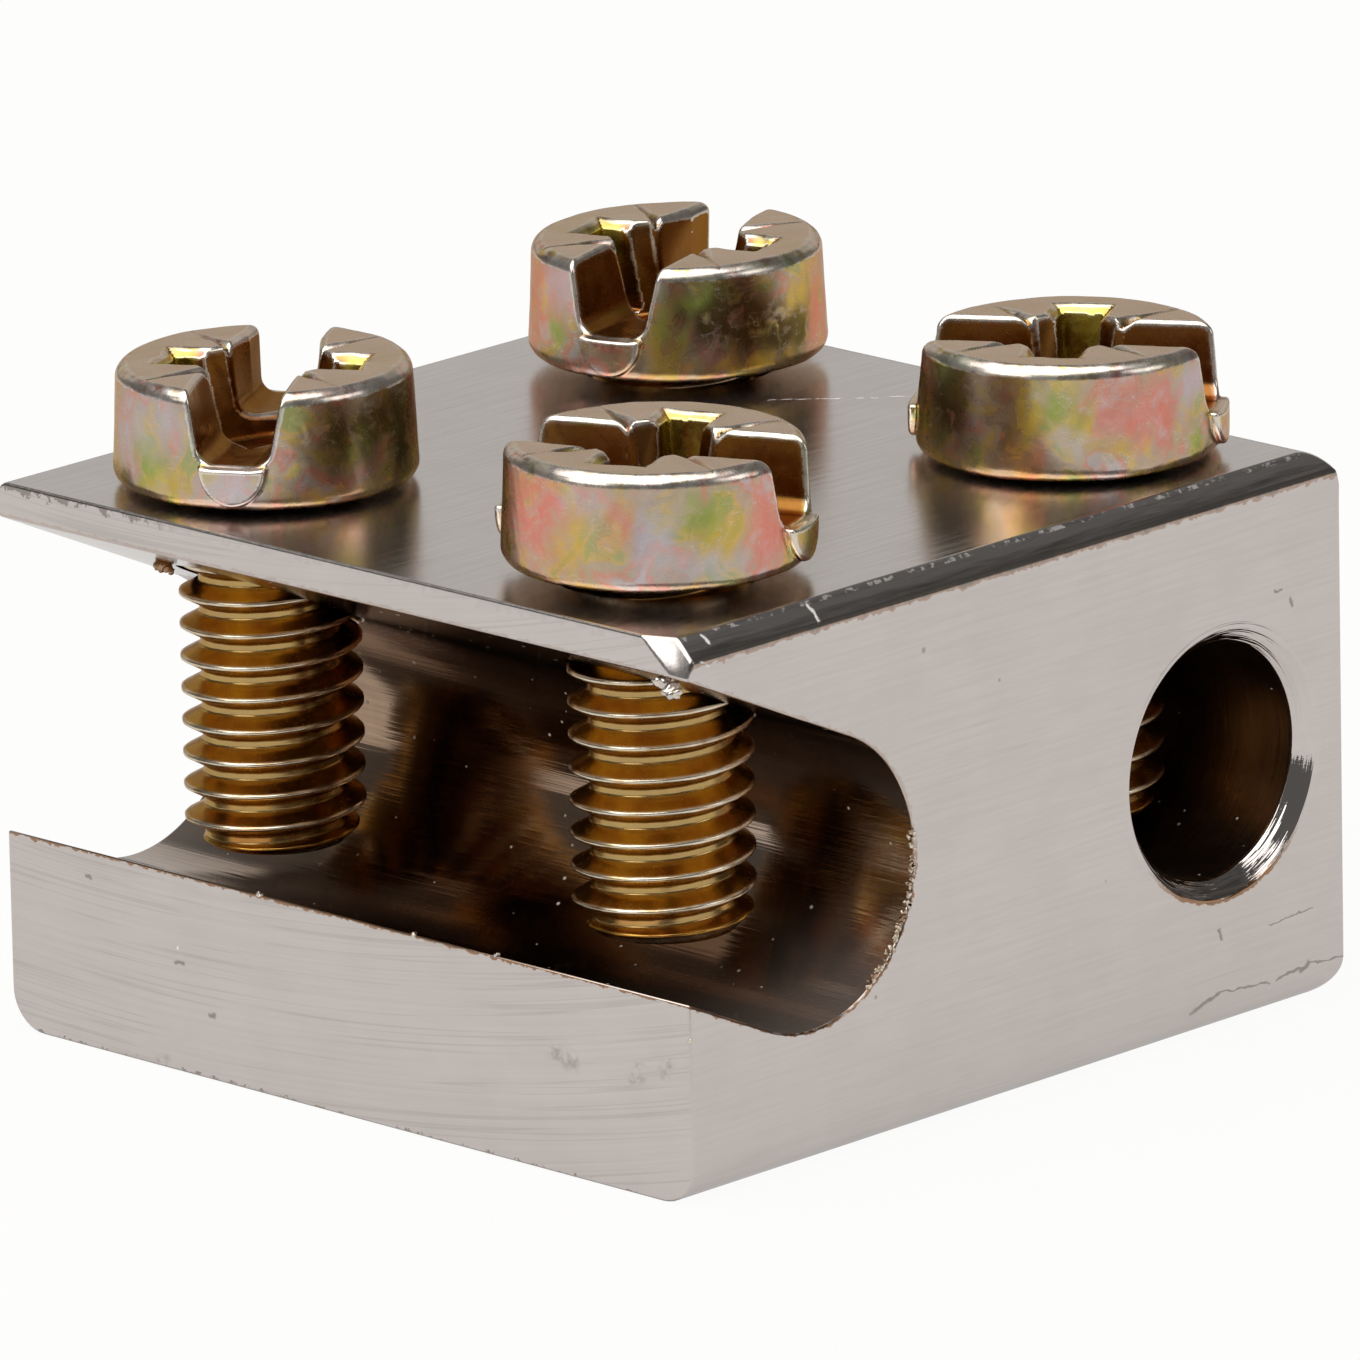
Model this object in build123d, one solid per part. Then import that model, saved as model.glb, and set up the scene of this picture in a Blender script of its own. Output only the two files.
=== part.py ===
from build123d import *
import os
from math import cos, radians, sin, tan

# Earthing clamp: a sawn block of drawn bar with a slanted open slot along one side for a wire laid in
# sideways, a bore along the other side for a wire pushed in, and two cheese-head screws over each.
# X runs along the slot and the bore, Y from the slot's open face to the back, Z up.
# The origin is the middle of the block's underside. Millimetres and degrees.

# Block
block_length = 20.0
block_depth = 20.0
block_height = 12.0
bottom_edge_radius = 0.9
back_edge_radius = 0.85
left_top_edge_radius = 0.3
right_top_edge_chamfer = 0.45
corner_facet_along_edge = 1.15
corner_facet_down_edge = 0.9
corner_facet_depth = 0.5

# Slanted slot, open to the front face, with a full round end just in front of the screws' line
slot_width = 6.25
slot_slope = 24.65
slot_end_lead = 0.11
jaw_edge_thickness = 0.76

# Bore for the second wire, its axis measured down from the top face
bore_diameter = 5.1
bore_depth = 6.1
bore_mouth_chamfer = 0.38

# Screws, M4, modelled at the thread's crest diameter, clear of the wire passages' floors when seated
thread_diameter = 3.85
seated_tip_clearance = 0.575
tip_chamfer = 0.32
running_clearance = 0.05
tapped_hole_countersink = 0.25
screw_spacing = 11.4
screw_inset = 3.75

# Screw head
head_diameter = 6.52
head_height = 2.54
head_draft = 3.0
head_top_radius = 0.3
head_bottom_radius = 0.32
head_edge_flats = 3

# Driver slot across the head, wider at the top, and the lip that its punch raised below each end
driver_slot_top_width = 2.0
driver_slot_floor_width = 1.46
driver_slot_depth = 1.55
driver_slot_corner_radius = 0.34
lip_proud = 0.13
lip_drop = 0.82

# Cross recess: two wings across the slot, a square core turned by 45 degrees and four ticks
wing_span = 4.1
wing_width = 0.98
wing_depth = 1.9
wing_draft = 4.0
wing_bevel = 0.18
core_width = 2.4
core_depth = 2.0
core_draft = 12.0
bevel_angle = 45.0
core_turn = 45.0
tick_count = 4
tick_reach = 2.5
tick_start = 1.0
tick_radius = 0.2

# How far each head stands off the block, and the heading of its slot, anticlockwise from X
screw_settings = {
    "slot_screw_left": {"gap": 0.10, "turn": 122.4},
    "slot_screw_right": {"gap": 0.33, "turn": 22.6},
    "bore_screw_left": {"gap": 0.31, "turn": 106.9},
    "bore_screw_right": {"gap": 0.08, "turn": 33.6},
}

# Places that follow from the sizes above
front_y = -block_depth / 2
back_y = block_depth / 2
left_x = -block_length / 2
right_x = block_length / 2
slot_screw_y = front_y + screw_inset
bore_screw_y = back_y - screw_inset
left_screw_x = -screw_spacing / 2
right_screw_x = screw_spacing / 2
thread_radius = thread_diameter / 2
tapped_hole_radius = thread_radius + running_clearance
cut_overrun = slot_width

# The slot's end and floor, from the thickness left at the upper jaw's edge and the screws' place
slope_rise = tan(radians(slot_slope))
slot_half_height = slot_width / 2 / cos(radians(slot_slope))
slot_end_inset = screw_inset - slot_end_lead
slot_end_depth = jaw_edge_thickness + slot_end_inset * slope_rise + slot_half_height
slot_end_height = block_height - slot_end_depth
bore_height = block_height - bore_depth

# The screws reach down as far as the higher of the two floors lets them
slot_floor_depth = slot_end_depth + slot_half_height - (thread_radius - slot_end_lead) * slope_rise
bore_floor_depth = bore_depth + bore_diameter / 2
screw_length = min(slot_floor_depth, bore_floor_depth) - seated_tip_clearance

# Each screw's centre, and the height of the wire passage that its hole opens into
screw_places = {
    "slot_screw_left": (left_screw_x, slot_screw_y, slot_end_height),
    "slot_screw_right": (right_screw_x, slot_screw_y, slot_end_height),
    "bore_screw_left": (left_screw_x, bore_screw_y, bore_height),
    "bore_screw_right": (right_screw_x, bore_screw_y, bore_height),
}


def bar_stock():
    """The drawn bar's section, extruded along Y, met with the block's side view, extruded along X."""
    with BuildPart() as block:
        with BuildSketch(Plane.XZ.offset(-back_y)):
            with Locations((0, block_height / 2)):
                Rectangle(block_length, block_height)
            fillet(vertices().group_by(Axis.Y)[0], bottom_edge_radius)
            fillet(vertices().group_by(Axis.Y)[-1].sort_by(Axis.X)[0], left_top_edge_radius)
            chamfer(vertices().group_by(Axis.Y)[-1].sort_by(Axis.X)[-1], right_top_edge_chamfer)
        extrude(amount=block_depth)
        with BuildSketch(Plane.YZ.offset(left_x)):
            with Locations((0, block_height / 2)):
                Rectangle(block_depth, block_height)
            fillet(vertices().group_by(Axis.X)[-1], back_edge_radius)
        extrude(amount=block_length, mode=Mode.INTERSECT)
    return block.part


def slot_cutter():
    """A slanted slot: a full round end and a straight run out through the front face."""
    run = slot_end_inset + block_depth
    end = Location((front_y + slot_end_inset, slot_end_height), -slot_slope)
    with BuildPart() as cutter:
        with BuildSketch(Plane.YZ.offset(left_x - cut_overrun)):
            with Locations(end):
                Circle(slot_width / 2)
                with Locations((-run / 2, 0)):
                    Rectangle(run, slot_width)
        extrude(amount=block_length + 2 * cut_overrun)
    return cutter.part


def bore_cutter():
    """The round bore with a chamfered mouth at each end."""
    radius = bore_diameter / 2
    mouth = radius + bore_mouth_chamfer
    axis_plane = Plane(origin=(left_x, bore_screw_y, bore_height), z_dir=(1, 0, 0))
    with BuildPart(axis_plane) as cutter:
        with Locations((0, 0, block_length / 2)):
            Cylinder(radius, block_length + 2 * cut_overrun)
        with Locations((0, 0, bore_mouth_chamfer / 2)):
            Cone(mouth, radius, bore_mouth_chamfer)
        with Locations((0, 0, block_length - bore_mouth_chamfer / 2)):
            Cone(radius, mouth, bore_mouth_chamfer)
    return cutter.part


def tapped_hole_cutter(x, y, opens_at):
    """A hole from the top face into the slot or the bore, with a lead-in at the top."""
    depth = block_height - opens_at
    lead_in = tapped_hole_countersink
    hole = Pos(x, y, opens_at + depth / 2) * Cylinder(tapped_hole_radius, depth)
    mouth = Cone(tapped_hole_radius, tapped_hole_radius + lead_in, lead_in)
    return hole + Pos(x, y, block_height - lead_in / 2) * mouth


def corner_facet_cutter():
    """The wedge that a flat facet takes off the block's front right top corner."""
    along = Vector(right_x - corner_facet_along_edge, front_y, block_height)
    down = Vector(right_x - right_top_edge_chamfer / 2, front_y, block_height - corner_facet_down_edge)
    inward = Vector(right_x, front_y + corner_facet_depth, block_height)
    facet = Plane(origin=down, z_dir=(inward - down).cross(along - down))
    return facet * Pos(0, 0, block_height / 2) * Box(block_length, block_length, block_height)


def make_clamp_body():
    body = bar_stock() - slot_cutter() - bore_cutter() - corner_facet_cutter()
    for x, y, opens_at in screw_places.values():
        body -= tapped_hole_cutter(x, y, opens_at)
    return body


def edge_round(centre_x, centre_z, radius, from_angle):
    """The points of a quarter round on the head's outline, drawn as a few short flats."""
    angles = [radians(from_angle + 90 * flat / head_edge_flats) for flat in range(head_edge_flats + 1)]
    return [(centre_x + radius * cos(angle), centre_z + radius * sin(angle)) for angle in angles]


def head_blank():
    """The turned head: a flat top, sides with draft and rounded edges, standing on Z = 0."""
    bottom_radius = head_diameter / 2
    top_radius = bottom_radius - head_height * tan(radians(head_draft))
    low, high = head_bottom_radius, head_top_radius
    low_round = edge_round(bottom_radius - low, low, low, -90)
    high_round = edge_round(top_radius - high, head_height - high, high, 0)
    with BuildPart() as head:
        with BuildSketch(Plane.XZ):
            with BuildLine():
                Polyline((0, 0), *low_round, *high_round, (0, head_height), close=True)
            make_face()
        revolve(axis=Axis.Z)
    return head.part


def driver_slot_cutter():
    """The straight slot along X: sloping sides and a floor with rounded corners."""
    half_top = driver_slot_top_width / 2
    half_floor = driver_slot_floor_width / 2
    floor = head_height - driver_slot_depth
    above = head_height + driver_slot_depth
    half_above = 2 * half_top - half_floor
    outline = [(-half_floor, floor), (half_floor, floor), (half_above, above), (-half_above, above)]
    with BuildPart() as cutter:
        with BuildSketch(Plane.YZ.offset(-head_diameter)):
            with BuildLine():
                Polyline(*outline, close=True)
            make_face()
            fillet(vertices().group_by(Axis.Y)[0], driver_slot_corner_radius)
        extrude(amount=2 * head_diameter)
    return cutter.part


def lips():
    """The half-round tongues of metal that the slot's punch pushed out of the head's side."""
    floor = head_height - driver_slot_depth
    with BuildPart() as tongues:
        with BuildSketch():
            Circle(head_diameter / 2 + lip_proud)
        extrude(amount=floor)
        with BuildSketch(Plane.YZ.offset(-head_diameter)):
            with Locations((0, floor)):
                Ellipse(driver_slot_floor_width / 2, lip_drop)
        extrude(amount=2 * head_diameter, mode=Mode.INTERSECT)
    return tongues.part


def cross_cutter():
    """The wings across the slot, with bevelled mouths, the turned square core and the ticks."""
    with BuildPart() as cutter:
        with BuildSketch(Plane.XY.offset(head_height)):
            Rectangle(wing_width, wing_span)
        extrude(amount=-wing_depth, taper=wing_draft)
        with BuildSketch(Plane.XY.offset(head_height)):
            Rectangle(wing_width + 2 * wing_bevel, wing_span + 2 * wing_bevel)
        extrude(amount=-wing_width / 2, taper=bevel_angle)
        with BuildSketch(Plane.XY.offset(head_height)):
            Rectangle(core_width, core_width, rotation=core_turn)
        extrude(amount=-core_depth, taper=core_draft)
        for tick in range(tick_count):
            heading = radians(core_turn + tick * 360 / tick_count)
            outward = Vector(cos(heading), sin(heading), 0)
            start = Vector(0, 0, head_height) + outward * tick_start
            with BuildSketch(Plane(origin=start, x_dir=(0, 0, 1), z_dir=outward)) as root:
                RegularPolygon(tick_radius, 4)
            loft([root.sketch.face(), Vertex(*(start + outward * (tick_reach - tick_start)))])
    return cutter.part


def make_screw():
    """One screw, with the underside of its head at Z = 0 and its slot along X."""
    head = head_blank() + lips() - driver_slot_cutter() - cross_cutter()
    shank = Pos(0, 0, -screw_length / 2) * Cylinder(thread_radius, screw_length)
    shank = chamfer(shank.edges().sort_by(Axis.Z)[0], tip_chamfer)
    return head + shank


def main():
    os.makedirs("parts", exist_ok=True)
    export_step(make_clamp_body(), "parts/clamp_body.step")
    screw = make_screw()
    for name, (x, y, _) in screw_places.items():
        setting = screw_settings[name]
        seat = Pos(x, y, block_height + setting["gap"]) * Rot(0, 0, setting["turn"])
        export_step(seat * screw, f"parts/{name}.step")


main()
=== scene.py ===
import math
from functools import reduce

import bmesh
import bpy
import numpy as np
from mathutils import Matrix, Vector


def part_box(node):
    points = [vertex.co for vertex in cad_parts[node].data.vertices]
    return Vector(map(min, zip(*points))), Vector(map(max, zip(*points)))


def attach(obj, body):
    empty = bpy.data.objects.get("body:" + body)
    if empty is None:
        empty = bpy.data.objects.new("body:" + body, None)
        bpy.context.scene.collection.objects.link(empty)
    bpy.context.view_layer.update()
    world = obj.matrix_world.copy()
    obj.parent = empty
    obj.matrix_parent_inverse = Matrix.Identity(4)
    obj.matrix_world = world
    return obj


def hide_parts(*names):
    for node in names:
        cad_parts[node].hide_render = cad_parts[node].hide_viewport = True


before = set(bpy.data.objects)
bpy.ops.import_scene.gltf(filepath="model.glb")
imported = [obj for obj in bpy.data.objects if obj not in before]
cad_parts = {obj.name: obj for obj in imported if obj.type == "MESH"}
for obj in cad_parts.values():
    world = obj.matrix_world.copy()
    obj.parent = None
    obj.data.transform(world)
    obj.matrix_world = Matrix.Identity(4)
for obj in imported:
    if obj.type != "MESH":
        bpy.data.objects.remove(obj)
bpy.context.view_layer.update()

import openvdb
from bpy.props import FloatProperty, FloatVectorProperty, PointerProperty
from mathutils import Matrix, Vector

bl_info = {
    "name": "Earthing clamp",
    "version": (1, 0, 0),
    "blender": (4, 5, 0),
    "location": "View3D > Sidebar > Clamp",
    "description": "Dresses an earthing clamp: a nickel-plated block and four passivated screws",
    "category": "Object",
}

MM = 0.001
X, Z = Vector((1, 0, 0)), Vector((0, 0, 1))
BLOCK_LOW, BLOCK_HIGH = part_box("clamp_body")
BLOCK_TOP, BLOCK_RIGHT = BLOCK_HIGH.z / MM, BLOCK_HIGH.x / MM
SCREWS = ("slot_screw_left", "slot_screw_right", "bore_screw_left", "bore_screw_right")


# Settings

def length(name, description, millimetres):
    """A size property whose default is given in millimetres."""
    return FloatProperty(
        name=name, description=description, default=millimetres * MM, unit="LENGTH", precision=5)


def angle(name, description, degrees):
    """An angle property whose default is given in degrees."""
    return FloatProperty(
        name=name, description=description, default=math.radians(degrees), unit="ROTATION")


def colour(name, description, *shade):
    """A linear colour property."""
    return FloatVectorProperty(
        name=name, description=description, default=shade, subtype="COLOR", size=3)


class BlockSizes(bpy.types.PropertyGroup):
    bottom_edge: length("Bottom edge radius", "Rounding of the drawn bar's two lower edges", 0.9)
    back_edge: length("Back edge radius", "Rounding of the back face's long edges", 0.85)
    left_top_edge: length("Left top edge radius", "Rounding of the bar's left top edge", 0.3)
    right_top_edge: length("Right top edge chamfer", "Flat worn along the right top edge", 0.45)
    facet_along: length("Facet along", "Corner facet's reach along the front edge", 1.15)
    facet_down: length("Facet down", "Corner facet's reach down the corner", 0.9)
    facet_depth: length("Facet depth", "Corner facet's reach along the right edge", 0.5)
    slot_width: length("Slot width", "Across the slanted slot", 6.25)
    slot_slope: angle("Slot slope", "Rise of the slot towards the front face", 24.65)
    slot_end_inset: length("Slot end inset", "Front face to the slot's round end's centre", 3.64)
    slot_end_depth: length("Slot end depth", "Top face to the slot's round end's centre", 5.869)
    bore_diameter: length("Bore diameter", "Across the bore", 5.1)
    bore_depth: length("Bore depth", "Top face down to the bore's axis", 6.1)
    bore_inset: length("Bore inset", "Back face to the bore's axis", 3.75)
    bore_chamfer: length("Bore chamfer", "Chamfer at each mouth of the bore", 0.38)
    hole_diameter: length("Tapped hole diameter", "Across the holes for the screws", 3.95)
    hole_countersink: length("Hole countersink", "Lead-in at the top of each hole", 0.25)
    edge_softness: length("Edge softness", "Width of the broken edge all round", 0.07)


class ScrewSizes(bpy.types.PropertyGroup):
    head_diameter: length("Head diameter", "Across the head at its underside", 6.52)
    head_height: length("Head height", "Underside to top of the head", 2.54)
    head_draft: angle("Head draft", "Lean of the head's side", 3)
    top_edge: length("Top edge radius", "Rounding of the head's top edge", 0.3)
    under_edge: length("Under edge radius", "Rounding of the head's lower edge", 0.32)
    slot_top: length("Driver slot at the top", "Width of the slot at the head's top", 2.0)
    slot_floor: length("Driver slot at the floor", "Width of the slot at its floor", 1.46)
    slot_depth: length("Driver slot depth", "Depth of the driver slot", 1.55)
    slot_corner: length("Driver slot corner", "Rounding along the slot's floor", 0.34)
    lip_proud: length("Lip height", "How far the punched lip stands out of the head", 0.13)
    lip_drop: length("Lip drop", "How far the punched lip reaches below the slot", 0.82)
    wing_span: length("Wing span", "Tip to tip of the cross recess", 4.1)
    wing_width: length("Wing width", "Width of a wing of the cross recess", 0.98)
    wing_depth: length("Wing depth", "Depth of the wings", 1.9)
    wing_draft: angle("Wing draft", "Lean of the wings' walls", 4)
    wing_bevel: length("Wing bevel", "Bevel round the wings' mouth", 0.18)
    core_width: length("Core width", "Side of the square core", 2.75)
    core_depth: length("Core depth", "Depth of the square core", 2.0)
    core_draft: angle("Core draft", "Lean of the core's walls", 12)
    tick_reach: length("Tick reach", "Outer end of the ticks at 45 degrees", 2.6)
    tick_start: length("Tick start", "Inner end of the ticks", 1.1)
    tick_radius: length("Tick radius", "Half width of a tick where it starts", 0.22)
    edge_softness: length("Edge softness", "Rounding of the recess's own edges", 0.1)
    unevenness: length("Unevenness", "How far the punched walls stray", 0.035)
    grid_step: length("Grid step", "Spacing of the grid that the head is meshed on", 0.055)
    thread_diameter: length("Thread diameter", "Across the thread's crests", 3.85)
    thread_root: length("Thread root", "Across the thread's roots", 3.0)
    thread_pitch: length("Thread pitch", "From one crest to the next", 0.7)
    tip_chamfer: length("Tip chamfer", "Chamfer at the screw's tip", 0.42)


class Finishes(bpy.types.PropertyGroup):
    nickel: colour("Nickel", "The block's plating", 0.66, 0.605, 0.575)
    nickel_shade: colour("Nickel shade", "Faint darker patches of it", 0.62, 0.565, 0.53)
    # Also the colour of the painted shade along the block's foot
    scratch_and_shade: colour("Scratch", "Fine dark scratches in the plating", 0.22, 0.19, 0.16)
    bore_wall: colour("Machined wall", "The tarnished brass walls", 0.42, 0.29, 0.20)
    fringe: colour("Edge fringe", "Brass along the edges", 0.30, 0.13, 0.035)
    tan: colour("Tan", "The passivation's ground colour", 0.58, 0.46, 0.34)
    # Also used for painted highlights along the heads' lower rims and sides
    gold: colour("Gold", "The passivation, yellow", 0.78, 0.52, 0.09)
    pink: colour("Pink", "The passivation, pink", 0.84, 0.29, 0.23)
    green: colour("Green", "The passivation, green", 0.36, 0.46, 0.11)
    # Also used for some painted glints on the heads' sides
    lavender: colour("Lavender", "The passivation, grey lavender", 0.62, 0.58, 0.62)
    # Painted reflection: this dark tint stands in for dark reflections on the heads' sides
    dark: colour("Dark olive", "The passivation where it is thickest", 0.10, 0.07, 0.03)
    # Painted shade: this colour darkens the surfaces inside the heads' recess and driver slot
    recess: colour("Recess", "The passivation inside the recess", 0.24, 0.095, 0.018)
    wing_end: colour("Wing end", "The recess's end walls", 0.62, 0.55, 0.13)
    # Painted light: this lighter colour goes on the heads' upward faces, as if lit from above
    top: colour("Head top", "The passivation on top of the heads", 0.80, 0.69, 0.61)
    rubbed: colour("Rubbed edge", "Bare zinc along the heads' edges", 0.88, 0.85, 0.80)
    thread: colour("Thread", "The thread's flanks", 0.40, 0.20, 0.055)
    # Painted reflection: this paler colour goes on the thread's roots
    thread_root: colour("Thread root", "The thread's roots", 0.50, 0.36, 0.16)
    # Also a painted highlight: this pale colour goes on the thread's crests, which are rubbed as well
    crest: colour("Crest", "The thread's rubbed crests", 0.80, 0.72, 0.58)


class StageSettings(bpy.types.PropertyGroup):
    azimuth: angle("Azimuth", "Camera's heading round the block", 44.16)
    elevation: angle("Elevation", "Camera's height above the table", 15.742)
    roll: angle("Roll", "Camera's tilt about its own axis", -1.175)
    distance: length("Distance", "Camera to the block's middle", 372.53)
    aim_right: length("Aim to the right", "Shift of the aim across the picture", 0.122)
    aim_up: length("Aim up", "Shift of the aim up the picture", 1.234)
    lens: FloatProperty(name="Lens", description="Focal length, in millimetres", default=466.6)


def settings():
    """The scene's sizes, finishes and stage."""
    scene = bpy.context.scene
    return scene.clamp_block, scene.clamp_screw, scene.clamp_finish, scene.clamp_stage


# Node trees

class Signal:
    """A value in a node tree. Python's operators on it make Math nodes, or Vector Math nodes."""

    def __init__(self, tree, socket):
        self.tree, self.socket = tree, socket

    def on(self, operation, *others, before=()):
        """The result of a math node on the values before this one, this one and the others."""
        vector = self.socket.type in ("VECTOR", "RGBA")
        kind = "ShaderNodeVectorMath" if vector else "ShaderNodeMath"
        output = "Value" if operation in ("DOT_PRODUCT", "LENGTH") else 0
        values = dict(enumerate((*before, self, *others)))
        return read(self.tree, kind, values, output, operation=operation)

    def __add__(self, other):
        return self.on("ADD", other)

    def __sub__(self, other):
        return self.on("SUBTRACT", other)

    def __rsub__(self, other):
        return self.on("SUBTRACT", before=(other,))

    def __mul__(self, other):
        return self.on("MULTIPLY", other)

    def __truediv__(self, other):
        return self.on("DIVIDE", other)

    def __rtruediv__(self, other):
        return self.on("DIVIDE", before=(other,))

    def __abs__(self):
        return self.on("ABSOLUTE")

    def __gt__(self, other):
        return self.on("GREATER_THAN", other)

    def __lt__(self, other):
        return self.on("LESS_THAN", other)

    def scaled(self, factor):
        """This vector times a number."""
        return read(self.tree, "ShaderNodeVectorMath", {0: self, "Scale": factor}, operation="SCALE")

    def mapped(self, from_low, from_high, to_low=0.0, to_high=1.0):
        """This value mapped from one range to another, clamped."""
        ends = {0: self, 1: from_low, 2: from_high, 3: to_low, 4: to_high}
        return read(self.tree, "ShaderNodeMapRange", ends)

    def split(self, kind="ShaderNodeSeparateXYZ"):
        """This vector's or colour's three parts."""
        return signals(self.tree, kind, {0: self})


def add_node(tree, kind, inputs=None, **values):
    """Adds a node, sets its values, and fills its inputs by name or number."""
    made = tree.nodes.new(kind)
    for key, value in values.items():
        setattr(made, key, value)
    for key, value in (inputs or {}).items():
        plug(made.inputs[key], value)
    return made


def plug(socket, value):
    """Links a signal to an input, or sets a plain value on it."""
    if isinstance(value, Signal):
        value.tree.links.new(value.socket, socket)
    else:
        socket.default_value = value


def read(tree, kind, inputs=None, output=0, **values):
    """The signal from one output of a new node."""
    return Signal(tree, add_node(tree, kind, inputs, **values).outputs[output])


def signals(tree, kind, inputs=None, **values):
    """The signals from all the outputs of a new node."""
    return [Signal(tree, socket) for socket in add_node(tree, kind, inputs, **values).outputs]


def tree_of(*values):
    """The node tree that the signals among the values belong to."""
    return next(value.tree for value in values if isinstance(value, Signal))


def highest(*values):
    """The highest of several signals."""
    return reduce(lambda first, second: first.on("MAXIMUM", second), values)


def hypot(first, second):
    """The length of the vector with these two parts."""
    return (first * first + second * second).on("SQRT")


def combined(*parts):
    """The vector with these three parts."""
    return read(tree_of(*parts), "ShaderNodeCombineXYZ", dict(enumerate(parts)))


def mix_value(factor, first, second):
    """Two numbers mixed."""
    parts = {0: factor, 2: first, 3: second}
    return read(tree_of(factor, first, second), "ShaderNodeMix", parts, data_type="FLOAT")


def mix(factor, first, second):
    """Two colours mixed."""
    first, second = (
        shade if isinstance(shade, Signal) else (*shade, 1.0) for shade in (first, second))
    parts = {0: factor, 6: first, 7: second}
    return read(tree_of(factor, first, second), "ShaderNodeMix", parts, 2, data_type="RGBA")


def noise(place, scale, detail=2.0, roughness=0.5, distortion=0.0, stretch=(1, 1, 1)):
    """A noise value at this many features per millimetre, stretched along the axes."""
    return read(place.tree, "ShaderNodeTexNoise", {
        "Vector": place * stretch, "Scale": scale, "Detail": detail, "Roughness": roughness,
        "Distortion": distortion})


def node_group(kind, name, inputs, outputs):
    """A node group and its inputs' signals. Its sockets are (name, type) or (name, type, default)."""
    tree = bpy.data.node_groups.new(name, kind)
    for direction, rows in (("INPUT", inputs), ("OUTPUT", outputs)):
        for label, socket_type, *default in rows:
            socket = tree.interface.new_socket(
                label, in_out=direction, socket_type="NodeSocket" + socket_type)
            if default:
                socket.default_value = default[0]
    given = signals(tree, "NodeGroupInput")
    return tree, {signal.socket.name: signal for signal in given}


def end_group(tree, *results):
    """Gives the group's results out, and returns the group."""
    add_node(tree, "NodeGroupOutput", dict(enumerate(results)))
    return tree


def end_geometry(tree, geometry, material):
    """Ends a Geometry Nodes tree with real instances and their material."""
    real = read(tree, "GeometryNodeRealizeInstances", {0: geometry})
    return end_group(
        tree, read(tree, "GeometryNodeSetMaterial", {"Geometry": real, "Material": material}))


def shared(name, build, *values):
    """A node group, built on its first use."""
    return bpy.data.node_groups.get(name) or build(*values)


def use_group(group, place, **inputs):
    """The outputs of a shader group that works on a place."""
    return signals(place.tree, "ShaderNodeGroup", {"Place": place, **inputs}, node_tree=group)


# Meshes

def new_object(name, data):
    piece = bpy.data.objects.new(name, data)
    bpy.context.scene.collection.objects.link(piece)
    return piece


def finished_mesh(name, bm):
    """An object made from a bmesh, with its faces turned outwards."""
    bmesh.ops.recalc_face_normals(bm, faces=bm.faces)
    mesh = bpy.data.meshes.new(name)
    bm.to_mesh(mesh)
    bm.free()
    return new_object(name, mesh)


def arc(centre, radius, start, end, steps):
    """Points round part of a circle, from one angle to another, in degrees."""
    turns = np.radians(np.linspace(start, end, steps + 1))
    return [
        (centre[0] + radius * math.cos(t), centre[1] + radius * math.sin(t)) for t in turns]


def coated(piece, *materials):
    """The piece with these materials in its slots."""
    for material in materials:
        piece.data.materials.append(material)
    return piece


def prism(name, outline, axis, low, high):
    """A closed prism: the outline, in the plane across the axis, run from low to high along it."""
    place = {"X": lambda a, b, c: (c, a, b), "Y": lambda a, b, c: (a, c, b)}[axis]
    bm = bmesh.new()
    face = bm.faces.new([bm.verts.new(place(a, b, low)) for a, b in outline])
    moved = bmesh.ops.extrude_face_region(bm, geom=[face])["geom"]
    shift = Vector(place(0, 0, high)) - Vector(place(0, 0, low))
    verts = [v for v in moved if isinstance(v, bmesh.types.BMVert)]
    bmesh.ops.translate(bm, verts=verts, vec=shift)
    return finished_mesh(name, bm)


def turned(name, outline, centre, axis, steps):
    """A closed solid turned from (radius, along) points about an axis through the centre."""
    bm = bmesh.new()
    verts = [bm.verts.new((radius, 0, along)) for radius, along in outline]
    edges = [bm.edges.new(pair) for pair in zip(verts, verts[1:])]
    bmesh.ops.spin(
        bm, geom=verts + edges, axis=Z, cent=(0, 0, 0), angle=math.tau, steps=steps)
    bmesh.ops.remove_doubles(bm, verts=bm.verts, dist=1e-7)
    bmesh.ops.recalc_face_normals(bm, faces=bm.faces)
    bmesh.ops.transform(bm, matrix=Z.rotation_difference(axis).to_matrix(), verts=bm.verts)
    bmesh.ops.translate(bm, verts=bm.verts, vec=centre)
    return finished_mesh(name, bm)


def apply_modifiers(piece):
    """Turns the piece with its modifiers into a plain mesh."""
    graph = bpy.context.evaluated_depsgraph_get()
    mesh = bpy.data.meshes.new_from_object(piece.evaluated_get(graph))
    piece.modifiers.clear()
    piece.data = mesh


def modify(piece, kind, **values):
    """Adds a modifier with these values and applies it."""
    modifier = piece.modifiers.new(kind, kind)
    for key, value in values.items():
        setattr(modifier, key, value)
    apply_modifiers(piece)


def combine(piece, tool, operation):
    """Cuts the tool from the piece, or keeps only what both share, and deletes the tool."""
    modify(
        piece, "BOOLEAN", operation=operation, solver="EXACT", material_mode="TRANSFER",
        object=tool)
    bpy.data.objects.remove(tool)


# Block

ROUNDING_STEPS, SLOT_STEPS, BORE_STEPS, HOLE_STEPS = 10, 72, 128, 48
MERGE_SHARE = 0.8  # vertices closer than this share of a broken edge's width are merged
FLAT_ANGLE, SHARP_ANGLE, CREASE_ANGLE = (math.radians(turn) for turn in (0.2, 24, 32))
VOLUME_TOLERANCE = 0.01


def slot_centre(sizes):
    """Y and Z of the centre of the slot's round end."""
    return BLOCK_LOW.y + sizes.slot_end_inset, BLOCK_HIGH.z - sizes.slot_end_depth


def bore_centre(sizes):
    """Y and Z of the bore's axis."""
    return BLOCK_HIGH.y - sizes.bore_inset, BLOCK_HIGH.z - sizes.bore_depth


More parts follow.
